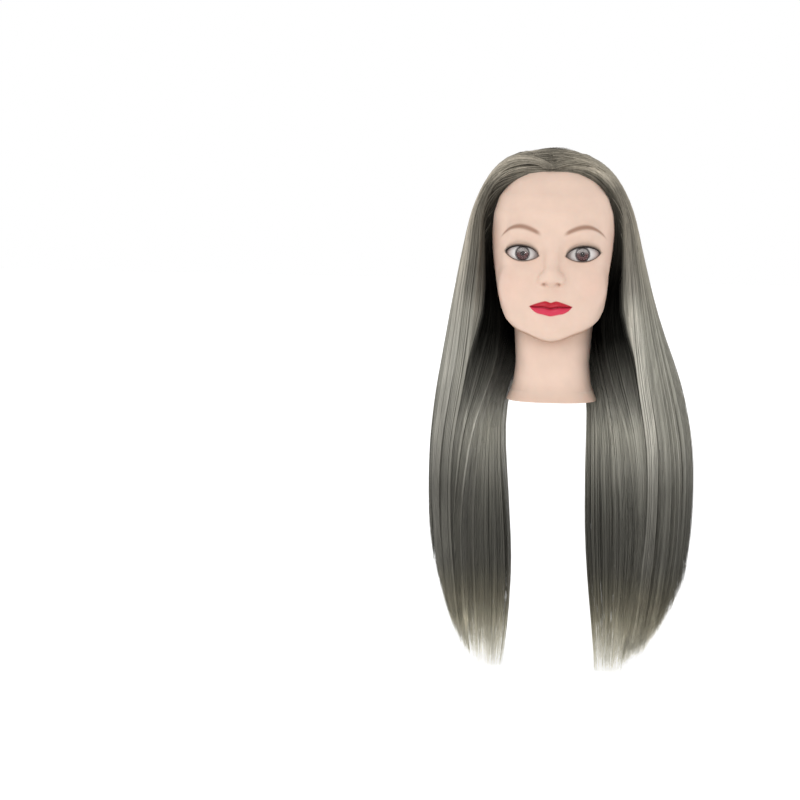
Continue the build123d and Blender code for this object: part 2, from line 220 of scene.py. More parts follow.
def stacked(table, x, y, z, low, high):
    """Distance to a form given by its sections between two heights, near enough."""
    outline = section(table, z)
    reach = np.sqrt(x ** 2 + (y - outline[1]) ** 2)
    level = reach * (1 - 1 / np.maximum(roundness(x, y, outline), 1e-6))
    return np.maximum(level, np.maximum(low - z, z - high))


def blob(x, y, z, centre, radii):
    """Distance to an ellipsoid, near enough."""
    dx, dy, dz = x - centre[0], y - centre[1], z - centre[2]
    k0 = np.sqrt((dx / radii[0]) ** 2 + (dy / radii[1]) ** 2 + (dz / radii[2]) ** 2)
    k1 = np.sqrt((dx / radii[0] ** 2) ** 2 + (dy / radii[1] ** 2) ** 2 + (dz / radii[2] ** 2) ** 2)
    return k0 * (k0 - 1) / np.maximum(k1, 1e-6)


def rod(x, y, z, start, end, r_start, r_end):
    """Distance to a round rod that tapers from start to end."""
    a, b = np.array(start), np.array(end)
    d = b - a
    t = clamp(((x - a[0]) * d[0] + (y - a[1]) * d[1] + (z - a[2]) * d[2]) / (d @ d))
    gap = np.sqrt((x - a[0] - t * d[0]) ** 2 + (y - a[1] - t * d[1]) ** 2 + (z - a[2] - t * d[2]) ** 2)
    return gap - mix(r_start, r_end, t)


def eye_centre(side):
    """Centre of an eye insert's sphere, and the way it looks, from the iris in the frame."""
    tag = dict(SIDES)[side]
    low, high = (np.array(v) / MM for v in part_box(f"iris_{tag}"))
    iris = (low + high) / 2
    gaze = math.radians(9.0) * side
    look = np.array([math.sin(gaze), -math.cos(gaze), 0.0])
    depth = math.sqrt(EYE_R ** 2 - IRIS_R ** 2) - 0.6
    return iris - look * depth, look


EYE, EYE_LOOK = eye_centre(1)

# The ear: its middle, how it leans back and stands off, and its forms about its own middle.
EAR = (74.0, 14.0, 150.0)
EAR_LEAN, EAR_SPLAY = math.radians(12), math.radians(18)
EAR_SHELL = ((0, 0, 0), (4.6, 15.5, 30.0))
EAR_BOWL = ((5.0, -1.5, 2.0), (5.0, 9.0, 18.0))
EAR_CANAL = ((4.0, -5.5, -5.0), (6.0, 5.0, 8.0))
LOBE_TAPER = 0.28

# The face's forms in the order they join: what it is, what it does, its form, its sizes, how softly.
SWELLS, CUTS = smooth_min, smooth_max
FACE_FORMS = (
    ("cheek", SWELLS, blob, ((33, -66, 131), (25, 21, 27)), 14),
    ("mouth", SWELLS, blob, ((0, -80, 112), (27, 14.5, 21)), 13),
    ("chin", SWELLS, blob, ((0, -79, 84.5), (17, 14.5, 12.5)), 9),
    ("eye socket", CUTS, blob, ((31, -97.5, 170), (24, 14, 15.5)), 10),
    ("brow", SWELLS, blob, ((26, -77, 193), (21, 10.5, 7.5)), 12),
    ("lids", SWELLS, blob, (EYE, (EYE_R + LID_T,) * 3), 3.5),
    ("nose ridge", SWELLS, rod, ((0, -82, 186), (0, -97.5, 149), 6, 7), 11),
    ("nose tip", SWELLS, blob, ((0, -99.5, 144), (8.2, 7.6, 7)), 7),
    ("nose wing", SWELLS, blob, ((9.2, -92, 139.6), (5.2, 7.8, 5.4)), 8),
    ("wall between the nostrils", SWELLS, rod, ((0, -100.5, 139.5), (0, -91, 134), 3, 3.2), 3.5),
    ("nostril", CUTS, blob, ((7.2, -97, 134.2), (3, 4.4, 2.6)), 1.6),
)


def ear_field(x, y, z):
    """A flat shell that leans back, with a hollow and a rim."""
    dx, dy, dz = x - EAR[0], y - EAR[1], z - EAR[2]
    along = dz * math.cos(EAR_LEAN) + dy * math.sin(EAR_LEAN)
    back = dy * math.cos(EAR_LEAN) - dz * math.sin(EAR_LEAN)
    out = dx * math.cos(EAR_SPLAY) - back * math.sin(EAR_SPLAY)
    across = back * math.cos(EAR_SPLAY) + dx * math.sin(EAR_SPLAY)
    tapered = across / (1 - LOBE_TAPER * ramp(0, -30, along))
    shell = smooth_max(blob(out, tapered, along, *EAR_SHELL), -blob(out, tapered, along, *EAR_BOWL), 2.0)
    return smooth_max(shell, -blob(out, across, along, *EAR_CANAL), 2.0)


def head_field(x, y, z):
    """Distance to the outside of the head, negative inside. The face is the same on both sides."""
    x = np.abs(x)
    head = stacked(head_table, x, y, z, HEAD_SECTIONS[0][0], HEAD_SECTIONS[-1][0])
    neck = stacked(neck_table, x, y, z, -1.0, NECK_SECTIONS[-1][0])
    f = smooth_min(head, neck, 7.0)
    face = (y < -30) & (z > 60) & (z < 225)
    fx, fy, fz = x[face], y[face], z[face]
    g = f[face]
    for _, joins, form, sizes, softness in FACE_FORMS:
        distance = form(fx, fy, fz, *sizes)
        g = joins(g, distance if joins is SWELLS else -distance, softness)
    f[face] = g
    beside = (x > 55) & (z > 105) & (z < 195) & (y > -20) & (y < 45)
    f[beside] = smooth_min(f[beside], ear_field(x[beside], y[beside], z[beside]), 3.0)
    return f


# ---- the head's skin ----
AXIS_Y = -8.0  # the rays run in towards the upright line at this y
RAY_START = 125.0
FRONT_Y = -45.0  # the face is in front of this
LID_CREASE = 0.9  # depth of the fold above the upper lid
LID_EDGE_GAP = 0.12  # from the insert's sphere to the inside of the lids' edges
NECK_MIDDLE = np.array([0.0, 2.0, 0.0])
NECK_EDGE = ((0.922, 0.0), (0.915, 1.0), (0.915, 12.0))  # how far the neck's cut edge shrinks and rises


def azimuths():
    """Angles of the rays from straight ahead, close together over the face and the ears."""
    half = np.concatenate([np.arange(0.25, 58, 0.5), np.arange(58.5, 120, 1.0), np.arange(121, 180, 2.2)])
    return np.radians(np.concatenate([-half[::-1], half]))


def heights():
    """Heights of the grid's rows before they are drawn onto the lids and the lips."""
    stretches = ((2.5, 60, 2.5), (60, 70, 1.2), (70, 82, 0.5), (82, 202, 0.8), (202, 262, 1.6))
    crown = 279.0 - 17.0 * np.linspace(1, 0.02, 22) ** 2
    return np.concatenate([[0.0, 0.5, 1.2], *(np.arange(*stretch) for stretch in stretches), crown])


def lid_edges(x):
    """Heights of the lid edges and of the corners' line, and how far past the corners x is (0 at them)."""
    s = (x - LID_X) / LID_HALF_W
    inside = clamp(1 - s ** 2)
    corner = mix(LID_Z - 2.4, LID_Z + 1.0, clamp((s + 1) / 2))
    upper = corner + (LID_UP + 0.8) * inside ** 0.66 * (1 - 0.06 * s)
    lower = corner - (LID_DOWN - 0.6) * inside ** 0.85 * (1 + 0.12 * s)
    return lower, upper, corner, np.abs(s) - 1


def lip_edges(x):
    """Heights of the lower border, the line between the lips and the upper border."""
    s = clamp(np.abs(x) / MOUTH_HALF_W)
    line = MOUTH_Z + 0.9 * s ** 2 - 0.9 * near(x, 5.0) + 0.5 * near(np.abs(x) - 9, 5.0)
    peak = near(np.abs(x) - 5.2, 4.2)
    upper = line + LIP_UP * (1 - s ** 2.4) * (0.86 + 0.16 * peak)
    lower = line - LIP_DOWN * (1 - s ** 3.4)
    return lower, line, upper, np.abs(x) / MOUTH_HALF_W - 1


# Rows of the grid that are drawn onto the lids, and onto the lips' borders and the line between them.
EYE_ROWS = (LID_Z - 7.0, LID_Z + 9.0)
LIP_ROWS = (MOUTH_Z - 8.0, MOUTH_Z, MOUTH_Z + 6.4)
LIP_CORNER_Z = MOUTH_Z + 0.9


def stretched(level, z, knots, targets):
    """Moves the rows between the knots in proportion, so that each knot's row lies on its target."""
    targets = [np.full_like(z, knots[0]), *targets, np.full_like(z, knots[-1])]
    for k in range(len(knots) - 1):
        part = (level >= knots[k]) & (level <= knots[k + 1])
        t = (level - knots[k]) / (knots[k + 1] - knots[k])
        z = np.where(part, mix(targets[k], targets[k + 1], t), z)
    return z


def draw_rows(level, x):
    """Moves the grid's rows so that some run exactly along the lids and the lips' borders."""
    x = np.abs(x)
    lower, upper, corner, beyond = lid_edges(x)
    apart = ramp(0.0, 0.55, beyond)
    low = np.where(beyond > 0, mix(corner, EYE_ROWS[0], apart), lower)
    high = np.where(beyond > 0, mix(corner, EYE_ROWS[1], apart), upper)
    z = stretched(level, level, (EYE_ROWS[0] - 17, *EYE_ROWS, EYE_ROWS[1] + 15), (low, high))
    *edges, beyond = lip_edges(x)
    apart = ramp(0.0, 0.45, beyond)
    targets = [np.where(beyond > 0, mix(LIP_CORNER_Z, row, apart), edge)
               for row, edge in zip(LIP_ROWS, edges)]
    return stretched(level, z, (LIP_ROWS[0] - 12, *LIP_ROWS, LIP_ROWS[2] + 12), targets)


def ray_points(turn, reach, z):
    """Points at a distance along the level rays."""
    return reach * np.sin(turn), AXIS_Y - reach * np.cos(turn), z


def cast(turn, z, steps):
    """Walks each level ray inwards until it meets the head."""
    reach = np.full_like(z, RAY_START)
    for _ in range(steps):
        distance = head_field(*ray_points(turn, reach, z))
        reach = np.maximum(reach - 0.8 * np.clip(distance, -3, 30), 0.2)
    return reach


def lip_swell(x, z):
    """How far the lips stand out from the face around them."""
    lower, line, upper, beyond = lip_edges(x)
    out = np.abs(x) / MOUTH_HALF_W
    fullness = clamp(1 - out ** 2.2) ** 0.8
    up = clamp((z - line) / np.maximum(upper - line, 0.05))
    down = clamp((line - z) / np.maximum(line - lower, 0.05))
    top = TOP_LIP_RISE * fullness * np.sqrt(clamp(1 - (2 * up - 0.55) ** 2 / 2.2))
    bottom = BOTTOM_LIP_RISE * fullness * np.sqrt(clamp(1 - (2 * down - 0.95) ** 2 / 1.35))
    within = (beyond < 0) & (z <= upper) & (z >= lower)
    away = np.maximum(np.maximum(z - upper, lower - z), 0)
    rim = np.where(z > line, TOP_LIP_RISE * 0.23, BOTTOM_LIP_RISE * 0.12) * fullness
    swell = np.where(within, np.where(z >= line, top, bottom), rim * near(away, 2.2) * (beyond < 0))
    crease_half_w = MOUTH_HALF_W + 1.5
    crease = LIP_CREASE * near(z - line, 0.7) * clamp(1 - (np.abs(x) / crease_half_w) ** 6)
    return swell - crease * (np.abs(x) < crease_half_w)


def brow_mask(x, z):
    """1 on the brows, fading at their edges and towards their outer ends."""
    bx, bz = np.array(BROW_POINTS).T
    x = np.abs(x)
    curve = np.polyfit(bx, bz, 3)
    middle = np.polyval(curve, x)
    along = clamp((x - bx[0]) / (bx[-1] - bx[0]))
    swell = 0.55 + 0.6 * np.sin(np.pi * clamp(along * 0.8 + 0.18))
    thick = BROW_T * swell * (1 - 0.35 * along ** 2)
    across = np.exp(-np.abs((z - middle) / (0.5 * thick)) ** 3)
    ends = ramp(bx[0] - 2.5, bx[0] + 5, x) * ramp(bx[-1] + 2, bx[-1] - 5, x)
    return across * ends


hairline_table = fine_table(HAIRLINE, blur=1.5)


def hairline(turn):
    """Height of the hairline at an angle from straight ahead, in radians. It comes further in on the left."""
    return section(hairline_table, np.degrees(np.where(turn > 0, LEFT_FURTHER_IN * turn, -turn)))[0]


def on_eye(x, z, radius):
    """The y of a sphere about the eye's centre, in front of it."""
    return EYE[1] - np.sqrt(np.maximum(radius ** 2 - (x - EYE[0]) ** 2 - (z - EYE[2]) ** 2, 1))


def lid_crease(ax, z, upper):
    """Depth of the fold above the upper lid."""
    off = ax - LID_X
    crease_z = upper + 4.2 + 1.2 * np.clip(off / LID_HALF_W, -1, 1)
    crease = near(z - crease_z, 0.8) * (np.abs(off) < LID_HALF_W + 2)
    return LID_CREASE * (crease * ramp(1.15, 0.6, np.abs(off) / LID_HALF_W))


def skin_grid():
    """Points of the skin with the lips raised and the lids creased, and which are in the eyes' openings."""
    turn, level = (grid.ravel() for grid in np.meshgrid(azimuths(), heights()))
    z = level
    reach = cast(turn, z, 30)
    for steps in (20, 46):
        z = draw_rows(level, reach * np.sin(turn))
        reach = cast(turn, z, steps)
    x, y, z = ray_points(turn, reach, z)
    front = y < -60
    y = np.where(front & (z > 90) & (z < 130), y - lip_swell(x, z), y)

    ax = np.abs(x)
    lower, upper, _, beyond = lid_edges(ax)
    slack = 0.02
    opening = front & (beyond < 0) & (z > lower + slack) & (z < upper - slack) & (abs(z - LID_Z) < 20)
    y = np.where(opening, on_eye(ax, z, EYE_R + LID_EDGE_GAP), y)
    y = y + lid_crease(ax, z, upper) * front
    return np.stack([x, y, z], 1), opening


def head_skin():
    """The vinyl skin with the eyes left open, as one piece."""
    points, opening = skin_grid()
    index = np.arange(len(points)).reshape(len(heights()), -1)
    ring = np.concatenate([index, index[:, :1]], axis=1)
    quads = np.stack([ring[:-1, :-1], ring[:-1, 1:], ring[1:, 1:], ring[1:, :-1]], -1).reshape(-1, 4)
    quads = quads[~opening[quads].all(axis=1)]
    points, quads = close_skin(points, quads, index)
    used = np.unique(quads)
    points = points[used]
    piece = new_mesh("vinyl_skin", points, np.searchsorted(used, quads))
    paint_skin(piece, points)
    return piece


def close_skin(points, quads, index):
    """Adds the neck's cut edge, as thick as the vinyl, and closes the crown."""
    rim, previous = points[index[0]], index[0]
    count = len(rim)
    rings, extra = [], []
    for shrink, rise in NECK_EDGE:
        ring = NECK_MIDDLE + (rim - NECK_MIDDLE) * shrink
        ring[:, 2] = rise
        here = len(points) + len(rings) * count + np.arange(count)
        rings.append(ring)
        extra.append(np.stack([np.roll(previous, -1), previous, here, np.roll(here, -1)], -1))
        previous = here
    top = index[-1]
    points = np.concatenate([points, *rings, points[top].mean(0, keepdims=True)])
    pole = np.full(count // 2, len(points) - 1)
    fan = np.stack([top[0:-1:2], top[1::2], np.roll(top, -2)[0:-1:2], pole], -1)
    return points, np.concatenate([quads, *extra, fan])


# ---- the paint on the skin ----
# The neck's paler tint is painted light. The darker tints at the neck's foot, on the face's sides beside the
# hair, under the jaw and in the nostrils are painted shade.
SKIN, NECK_PAINTED_LIGHT, FOOT_SHADE = srgb(213, 186, 169), srgb(224, 197, 180), srgb(200, 172, 154)
BLUSH, CHEEK_SIDE_SHADE = srgb(208, 164, 148), srgb(194, 158, 142)
JAW_LINE, UNDER_JAW_SHADE = srgb(152, 110, 84), srgb(182, 146, 124)
LID_SHADE, UNDER_LID = srgb(168, 142, 118), srgb(196, 162, 142)
LINER, LOWER_LINER = srgb(30, 20, 17), srgb(84, 62, 52)
LIP_TOP, LIP_BOTTOM, LIP_LINE = srgb(178, 4, 34), srgb(198, 36, 70), srgb(126, 4, 26)
BROW, NOSTRIL_SHADE, SCALP = srgb(146, 110, 90), srgb(150, 108, 88), srgb(64, 56, 47)
# The jaw's lower edge: distance out, and height.
JAW_EDGE = ((0, 70.4), (10.5, 72.6), (25.6, 79.1), (36.5, 82.7), (45, 88))


def lay(colour, mask, tint, strength=1.0):
    """Lays a tint over the colours where the mask is 1, and less where it is less."""
    colour[:] = mix(colour, tint, (clamp(mask) * strength)[:, None])


def shade_skin(colour, ax, y, z):
    """Blush, painted shade on the face's sides beside the hair, the jaw's line, painted shade under the jaw,
    the neck painted paler as painted light, and painted shade at its foot.
    """
    lay(colour, near(ax - 46, 17) * near(z - 132, 19) * (y < FRONT_Y), BLUSH, 0.22)
    # painted shade on the face's sides beside the hair
    beside_face_shade = ramp(52, 70, ax) * ramp(84, 92, z) * ramp(215, 190, z) * (y < 10)
    lay(colour, beside_face_shade, CHEEK_SIDE_SHADE, 0.6)
    jaw = np.interp(ax, *np.array(JAW_EDGE).T)
    under_face = ramp(48, 40, ax) * (y < -20)
    lay(colour, near(z - jaw, 1.4) * under_face, JAW_LINE, 0.75)
    # painted shade under the jaw, fading downwards
    lay(colour, (z < jaw) * np.exp(-np.maximum(jaw - z, 0) / 9.0) * under_face, UNDER_JAW_SHADE, 0.45)
    # painted light: the neck is painted paler to lift the shade that the hair and the light from above leave
    # on it
    lay(colour, ramp(70, 55, z), NECK_PAINTED_LIGHT, 0.5)
    # painted shade, darker towards the neck's foot
    lay(colour, ramp(30, 0, z), FOOT_SHADE, 0.5)


def paint_eyes(colour, ax, y, z):
    """Shade on the lids, the line along their edges and its wing, and the brows."""
    lower, upper, corner, beyond = lid_edges(ax)
    zone = (y < FRONT_Y) & (np.abs(z - LID_Z) < 34)
    above, below = np.maximum(z - upper, 0), np.maximum(lower - z, 0)
    lay(colour, near(above, 5.0) * (z > LID_Z) * ramp(0.35, -0.1, beyond) * zone, LID_SHADE, 0.5)
    lay(colour, near(below, 5.0) * (z < LID_Z) * ramp(0.3, -0.2, beyond) * zone, UNDER_LID, 0.4)
    thick = mix(3.2, 4.6, np.abs((ax - LID_X) / LID_HALF_W) ** 1.5)
    lined = (beyond < 0.03) * zone
    lay(colour, near(above + 9.0 * (z <= corner), thick) ** 1.5 * lined, LINER, 0.97)
    lay(colour, near(below + 9.0 * (z > corner), 1.1) * lined, LOWER_LINER, 0.85)
    wing = near(z - corner - 0.45 * np.maximum(ax - LID_X - LID_HALF_W, 0) - 0.4, 1.3)
    lay(colour, wing * ramp(0.14, 0.0, beyond) * (beyond > -0.08) * zone, LINER, 0.9)
    lay(colour, brow_mask(ax, z) * (y < -40) * (z > 180), BROW, 0.95)


def paint_mouth(colour, x, y, z):
    """The lips, and painted shade in the nostrils. Gives back how much of each point is lip."""
    lower, line, upper, beyond = lip_edges(x)
    front = y < FRONT_Y
    lip = ramp(lower - 0.5, lower + 0.3, z) * ramp(upper + 0.5, upper - 0.3, z)
    lip = lip * ramp(0.015, -0.02, beyond) * (front & (z < 125))
    lay(colour, lip * (z >= line), LIP_TOP)
    lay(colour, lip * (z < line), LIP_BOTTOM)
    lay(colour, lip * near(z - line - 0.8, 3.4), mix(LIP_TOP, LIP_LINE, 0.35), 0.5)
    lay(colour, near(z - line, 0.7) * lip, LIP_LINE, 0.6)
    # painted shade in the nostrils
    lay(colour, near(np.abs(x) - 8.2, 2.2) * near(z - 135.0, 1.6) * front, NOSTRIL_SHADE, 0.7)
    return lip


def paint_skin(piece, points):
    x, y, z = points.T
    ax = np.abs(x)
    colour = np.tile(SKIN, (len(points), 1))
    shade_skin(colour, ax, y, z)
    paint_eyes(colour, ax, y, z)
    lip = paint_mouth(colour, x, y, z)
    under_hair = z - hairline(np.arctan2(x, AXIS_Y - y))
    lay(colour, ramp(0.5, 4.0, under_hair), SCALP, 0.92)
    paint(piece, colour)
    measure(piece, "gloss", lip)


# ---- eyes ----
WHITE_RIM_R = 22.6  # radius of the eye insert's rim
IRIS_SEAT = 23.6  # from the eye's centre to the seat of the iris disc
IRIS_EDGE_R = 7.4
CORNEA_T = 0.5
TINY_R = 0.02  # radius of the small ring that closes a turned form at its axis


def turned_form(name, profile, side, segments=96):
    """A form turned about the line of sight, from its profile of radius and distance along the look.
    Gives back the piece, with the radius and the angle of its points as a column and a row."""
    centre = EYE * np.array([side, 1, 1])
    look = EYE_LOOK * np.array([side, 1, 1])
    up = np.array([0.0, 0.0, 1.0])
    across = np.cross(up, look)
    profile = np.array(profile, float)
    angle = np.linspace(0, 2 * np.pi, segments, endpoint=False)
    ring = np.cos(angle)[:, None] * across + np.sin(angle)[:, None] * up
    points = centre + profile[:, None, :1] * ring[None] + profile[:, None, 1:] * look
    index = np.arange(len(profile) * segments).reshape(len(profile), segments)
    a, b = index[:-1], index[1:]
    quads = np.stack([a, b, np.roll(b, -1, 1), np.roll(a, -1, 1)], -1).reshape(-1, 4)
    return new_mesh(name, points.reshape(-1, 3), quads), profile[:, :1], angle[None]


def dome(radius, low, high, count, lift=0.0):
    """Profile points on a sphere between two distances from its axis."""
    return [(r, math.sqrt(radius ** 2 - r ** 2) + lift) for r in np.linspace(low, high, count)]


def stand_for(piece, node_name):
    """Hides the CAD node that a piece stands for, and gives the piece back."""
    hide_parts(node_name)
    return piece


def eye_white(side, tag):
    """The shallow dome, reddish and darker towards its rim and corners, a reddish tint with painted shade,
    with a dark ring round the seat of the iris.
    """
    profile = dome(EYE_R, WHITE_RIM_R, IRIS_R + 0.25, 40)
    profile += [(IRIS_R, 24.85), (IRIS_R, IRIS_SEAT), (TINY_R, IRIS_SEAT), (TINY_R, IRIS_SEAT - 1.0)]
    profile += dome(EYE_R - 3.0, 2.0, 20.0, 16) + [(WHITE_RIM_R, 12.854)]
    piece, r, a = turned_form(f"white_dome_{tag}", profile, side)
    # a reddish tint with painted shade, darker towards the rim under the lids and towards the corners
    rim_tint_and_shade = ramp(9, 19, r) * (0.6 + 0.4 * np.abs(np.cos(a)))
    colour = mix(srgb(206, 201, 198), srgb(178, 148, 138), rim_tint_and_shade[..., None] * 0.7)
    ring = ramp(8.9, 8.1, r) * np.ones_like(a)
    colour = mix(colour, srgb(58, 50, 48), 0.85 * ring[..., None])
    paint(piece, colour.reshape(-1, 3))
    return stand_for(piece, f"eye_white_{tag}")


def iris(side, tag):
    """The iris disc: a dark pupil, grey fibres that turn brown below, their lighter grey above partly a
    painted reflection, and a dark outer ring.
    """
    r = np.concatenate([[TINY_R, 1.0, 1.8, 2.2, 2.45, 2.7], np.linspace(3.0, 7.1, 18), [IRIS_EDGE_R]])
    bowl = 24.45 - 0.55 * (1 - (r / IRIS_R) ** 2)
    profile = list(zip(r, bowl)) + [(IRIS_EDGE_R, 23.7), (TINY_R, 23.7)]
    piece, r, a = turned_form(f"iris_disc_{tag}", profile[::-1], side, segments=160)
    fibres = rng.normal(0, 1, 160)
    fibres = 0.55 * fibres + 0.45 * np.roll(fibres, 1) + 0.35 * np.repeat(rng.normal(0, 1, 20), 8)
    # lighter grey above and brown below: the iris's colour, with a painted reflection in the lighter grey
    # above
    brown = ramp(4.0, -1.0, r * np.sin(a))[..., None]
    colour = mix(srgb(148, 142, 139), srgb(80, 40, 38), brown)
    colour = colour * (1 + 0.22 * fibres[None, :, None] * ramp(2.4, 4.2, r)[..., None])
    rim = ramp(5.9, 7.2, r) * np.ones_like(a)
    pupil = ramp(3.1, 2.4, r) * np.ones_like(a)
    colour = mix(colour, srgb(30, 24, 25), 0.9 * rim[..., None])
    colour = mix(colour, srgb(12, 8, 9), 0.92 * pupil[..., None])
    paint(piece, clamp(colour).reshape(-1, 3))
    return stand_for(piece, f"iris_{tag}")


def cornea(side, tag):
    lift = EYE_R + CORNEA_RISE - CORNEA_R
    profile = dome(CORNEA_R, TINY_R, 9.3, 26, lift) + dome(CORNEA_R, 7.6, TINY_R, 18, lift - CORNEA_T)
    piece, _, _ = turned_form(f"clear_dome_{tag}", profile, side)
    return stand_for(piece, f"cornea_{tag}")


# ---- tapered fibres: lashes and hair ----
def fibres(name, paths, width, thickness, facing):
    """Closed three-sided fibres along paths (fibre, point, xyz), with a width and thickness at each point."""
    count, steps = paths.shape[:2]
    along = np.gradient(paths, axis=1)
    along /= np.maximum(np.linalg.norm(along, axis=2, keepdims=True), 1e-6)
    across = np.cross(along, facing)
    across /= np.maximum(np.linalg.norm(across, axis=2, keepdims=True), 1e-6)
    out = np.cross(across, along)
    corners = []
    for angle in np.radians([90, 210, 330]):
        corners.append(paths + across * (math.cos(angle) * width)[..., None]
                       + out * (math.sin(angle) * thickness)[..., None])
    points = np.stack(corners, 2).reshape(-1, 3)
    index = np.arange(count * steps * 3).reshape(count, steps, 3)
    a, b = index[:, :-1], index[:, 1:]
    an, bn = np.roll(a, -1, 2), np.roll(b, -1, 2)
    sides = np.stack([np.stack([a, an, bn], -1), np.stack([a, bn, b], -1)], 3).reshape(-1, 3)
    ends = np.concatenate([index[:, 0, ::-1], index[:, -1]])
    return new_mesh(name, points, np.concatenate([sides, ends]))


# Lashes of each lid: how many, points along each, length, how much longer in the middle, fan, forward reach,
# how they bend up or down, and radius.
LASHES = {
    "upper": dict(count=120, steps=8, length=4.6, longer=1.8, fan=0.5, reach=1.0, bend=(0.02, 0.36),
                  radius=0.17),
    "lower": dict(count=56, steps=6, length=1.7, longer=0.6, fan=0.4, reach=0.7, bend=(-0.3, -0.15),
                  radius=0.11),
}
LASH_BLACK = srgb(24, 18, 16)
LASH_SHEEN = 0.5


def lashes(side, tag, lid):
    """A row of curved lashes rooted along the edge of a lid."""
    row = LASHES[lid]
    count = row["count"]
    s = np.linspace(-0.95, 0.99, count) + rng.normal(0, 0.008, count)
    x = LID_X + LID_HALF_W * s
    low, high, _, _ = lid_edges(x)
    z = high - 0.1 if lid == "upper" else low + 0.1
    root = np.stack([side * x, on_eye(x, z, EYE_R + LID_T), z], -1)
    root[:, 1] += 0.4
    fan = (s + 0.1) * row["fan"] + rng.normal(0, 0.05, count)
    swell = np.sin(np.pi * clamp(0.55 + 0.42 * s))
    length = row["length"] + row["longer"] * swell
    length = ((length + rng.normal(0, 0.3, count)) * (0.7 + 0.3 * ramp(-0.9, 0.4, s)))[:, None]
    t = np.linspace(0, 1, row["steps"])[None]
    forward = length * (0.98 * t - 0.25 * t ** 2)
    lift = length * (row["bend"][0] * t + row["bend"][1] * t ** 2)
    sideways = length * fan[:, None] * t * side
    path = root[:, None] + np.stack([sideways, -forward * row["reach"], lift], -1)
    width = row["radius"] * (1 - 0.85 * t) * np.ones((count, 1))
    facing = np.broadcast_to([0.0, -0.3, 1.0], path.shape)
    piece = fibres(f"lashes_{lid}_{tag}", path, width, width * 0.8, facing)
    points = len(piece.data.vertices)
    paint(piece, np.tile(LASH_BLACK, (points, 1)))
    measure(piece, "sheen", np.full(points, LASH_SHEEN))
    return stand_for(piece, f"lash_strip_{lid}_{tag}")


# ---- hair: the room it fills ----
# Level sections of the whole hair: height, right edge, left edge, front y, back y.
HAIR_SECTIONS = (
    (-330, -52, 58, 14, 30), (-320, -66, 72, 12, 32), (-296, -95, 108, -2, 40),
    (-256, -112, 135, -14, 48), (-206, -128.5, 159, -24, 54),
    (-136, -142, 167, -32, 60), (-56, -141, 165, -38, 66), (15, -134, 150, -44, 76),
    (75, -124, 127, -50, 92), (125, -115, 110.5, -56, 105), (175, -106, 98.5, -68, 112),
    (210, -99, 90.5, -80, 113.5), (238.5, -87.5, 78.5, -82, 107), (260.5, -76, 64.5, -63, 92),
    (276, -61, 45.5, -40, 70), (286, -41, 27, -15, 42), (290.2, -17, 7, 8, 16),
    (290.6, -0.6, 0.6, 11.4, 12.6),
)
# Front edge of the outer locks and of the darker hair under them: height, distance out from the midline.
LOCK_EDGE = (
    (-330, 62), (-260, 92), (-150, 114), (-46, 112), (-23, 107), (0, 102), (37, 96), (78, 92), (120, 89),
    (150, 86), (175, 82), (195, 79), (215, 75), (240, 62), (258, 40),
)
UNDER_EDGE = (
    (-330, 60), (-260, 84), (-150, 100), (-20, 84), (25, 62), (75, 57), (105, 68), (125, 80), (258, 80),
)
# Inner edge of each curtain: height, distance out from the midline.
CURTAIN_INNER = {
    -1: ((-330, 60), (-295, 53), (-276, 47), (-239, 39.5), (-202, 39.5), (-165, 46.5), (-128, 49), (-91, 54),
         (-54, 57), (-17, 59), (0, 56), (20, 50), (60, 32), (96, 0), (300, 0)),
    1: ((-330, 80), (-295, 75), (-276, 68), (-239, 58.5), (-202, 52.5), (-165, 42.5), (-114, 40.5), (-17, 41),
        (20, 40), (60, 30), (96, 0), (300, 0)),
}
CROWN = np.array([0.0, 12.0, 170.0])  # centre that the dome's directions are measured from
FACE_EDGE = {-1: 0.985, 1: 0.92}  # where the innermost hair starts, in half widths of the head
NAPE = (52.0, 112.0)  # between these heights the hair's inside closes in on the head

hair_table = fine_table(HAIR_SECTIONS, blur=3.0)
lock_edge, under_edge = (fine_table(table, blur=9.0, step=1.0) for table in (LOCK_EDGE, UNDER_EDGE))
curtain_inner = {side: fine_table(CURTAIN_INNER[side], blur=9.0, step=1.0) for side, _ in SIDES}


def hair_section(z, side):
    """Half width, middle, front and back of all the hair on one side."""
    right, left, front, back = section(hair_table, z)
    return (left if side > 0 else -right), 0.5 * (front + back), front, back


def inner_section(z):
    """The section that the hair lies against: the head above, and the neck below."""
    head, neck = section(head_table, z), section(neck_table, z)
    beside = ramp(70, 128, z)
    half = mix(neck[0], np.maximum(head[0], neck[0]), beside)
    back = mix(neck[3], np.maximum(head[3], neck[3]), beside)
    return half + 2.0, mix(neck[1], head[1], beside), mix(neck[2], head[2], beside) - 2.0, back + 2.0


def at_angle(outline, angle):
    """The point of a section at an angle, from straight out (0) to the front (negative) or the back."""
    half, middle, front, back = outline
    n = np.where(angle < 0, ROUND_FRONT, ROUND_BACK)
    depth = np.where(angle < 0, middle - front, back - middle)
    x = half * np.abs(np.cos(angle)) ** (2 / n)
    return x, middle + np.sign(np.sin(angle)) * depth * np.abs(np.sin(angle)) ** (2 / n)


def angle_at(outline, x, sign):
    """The angle of a section's point at a distance out, in its front half (sign -1) or its back half."""
    n = ROUND_FRONT if sign < 0 else ROUND_BACK
    return sign * np.arccos(clamp(x / outline[0]) ** (n / 2))


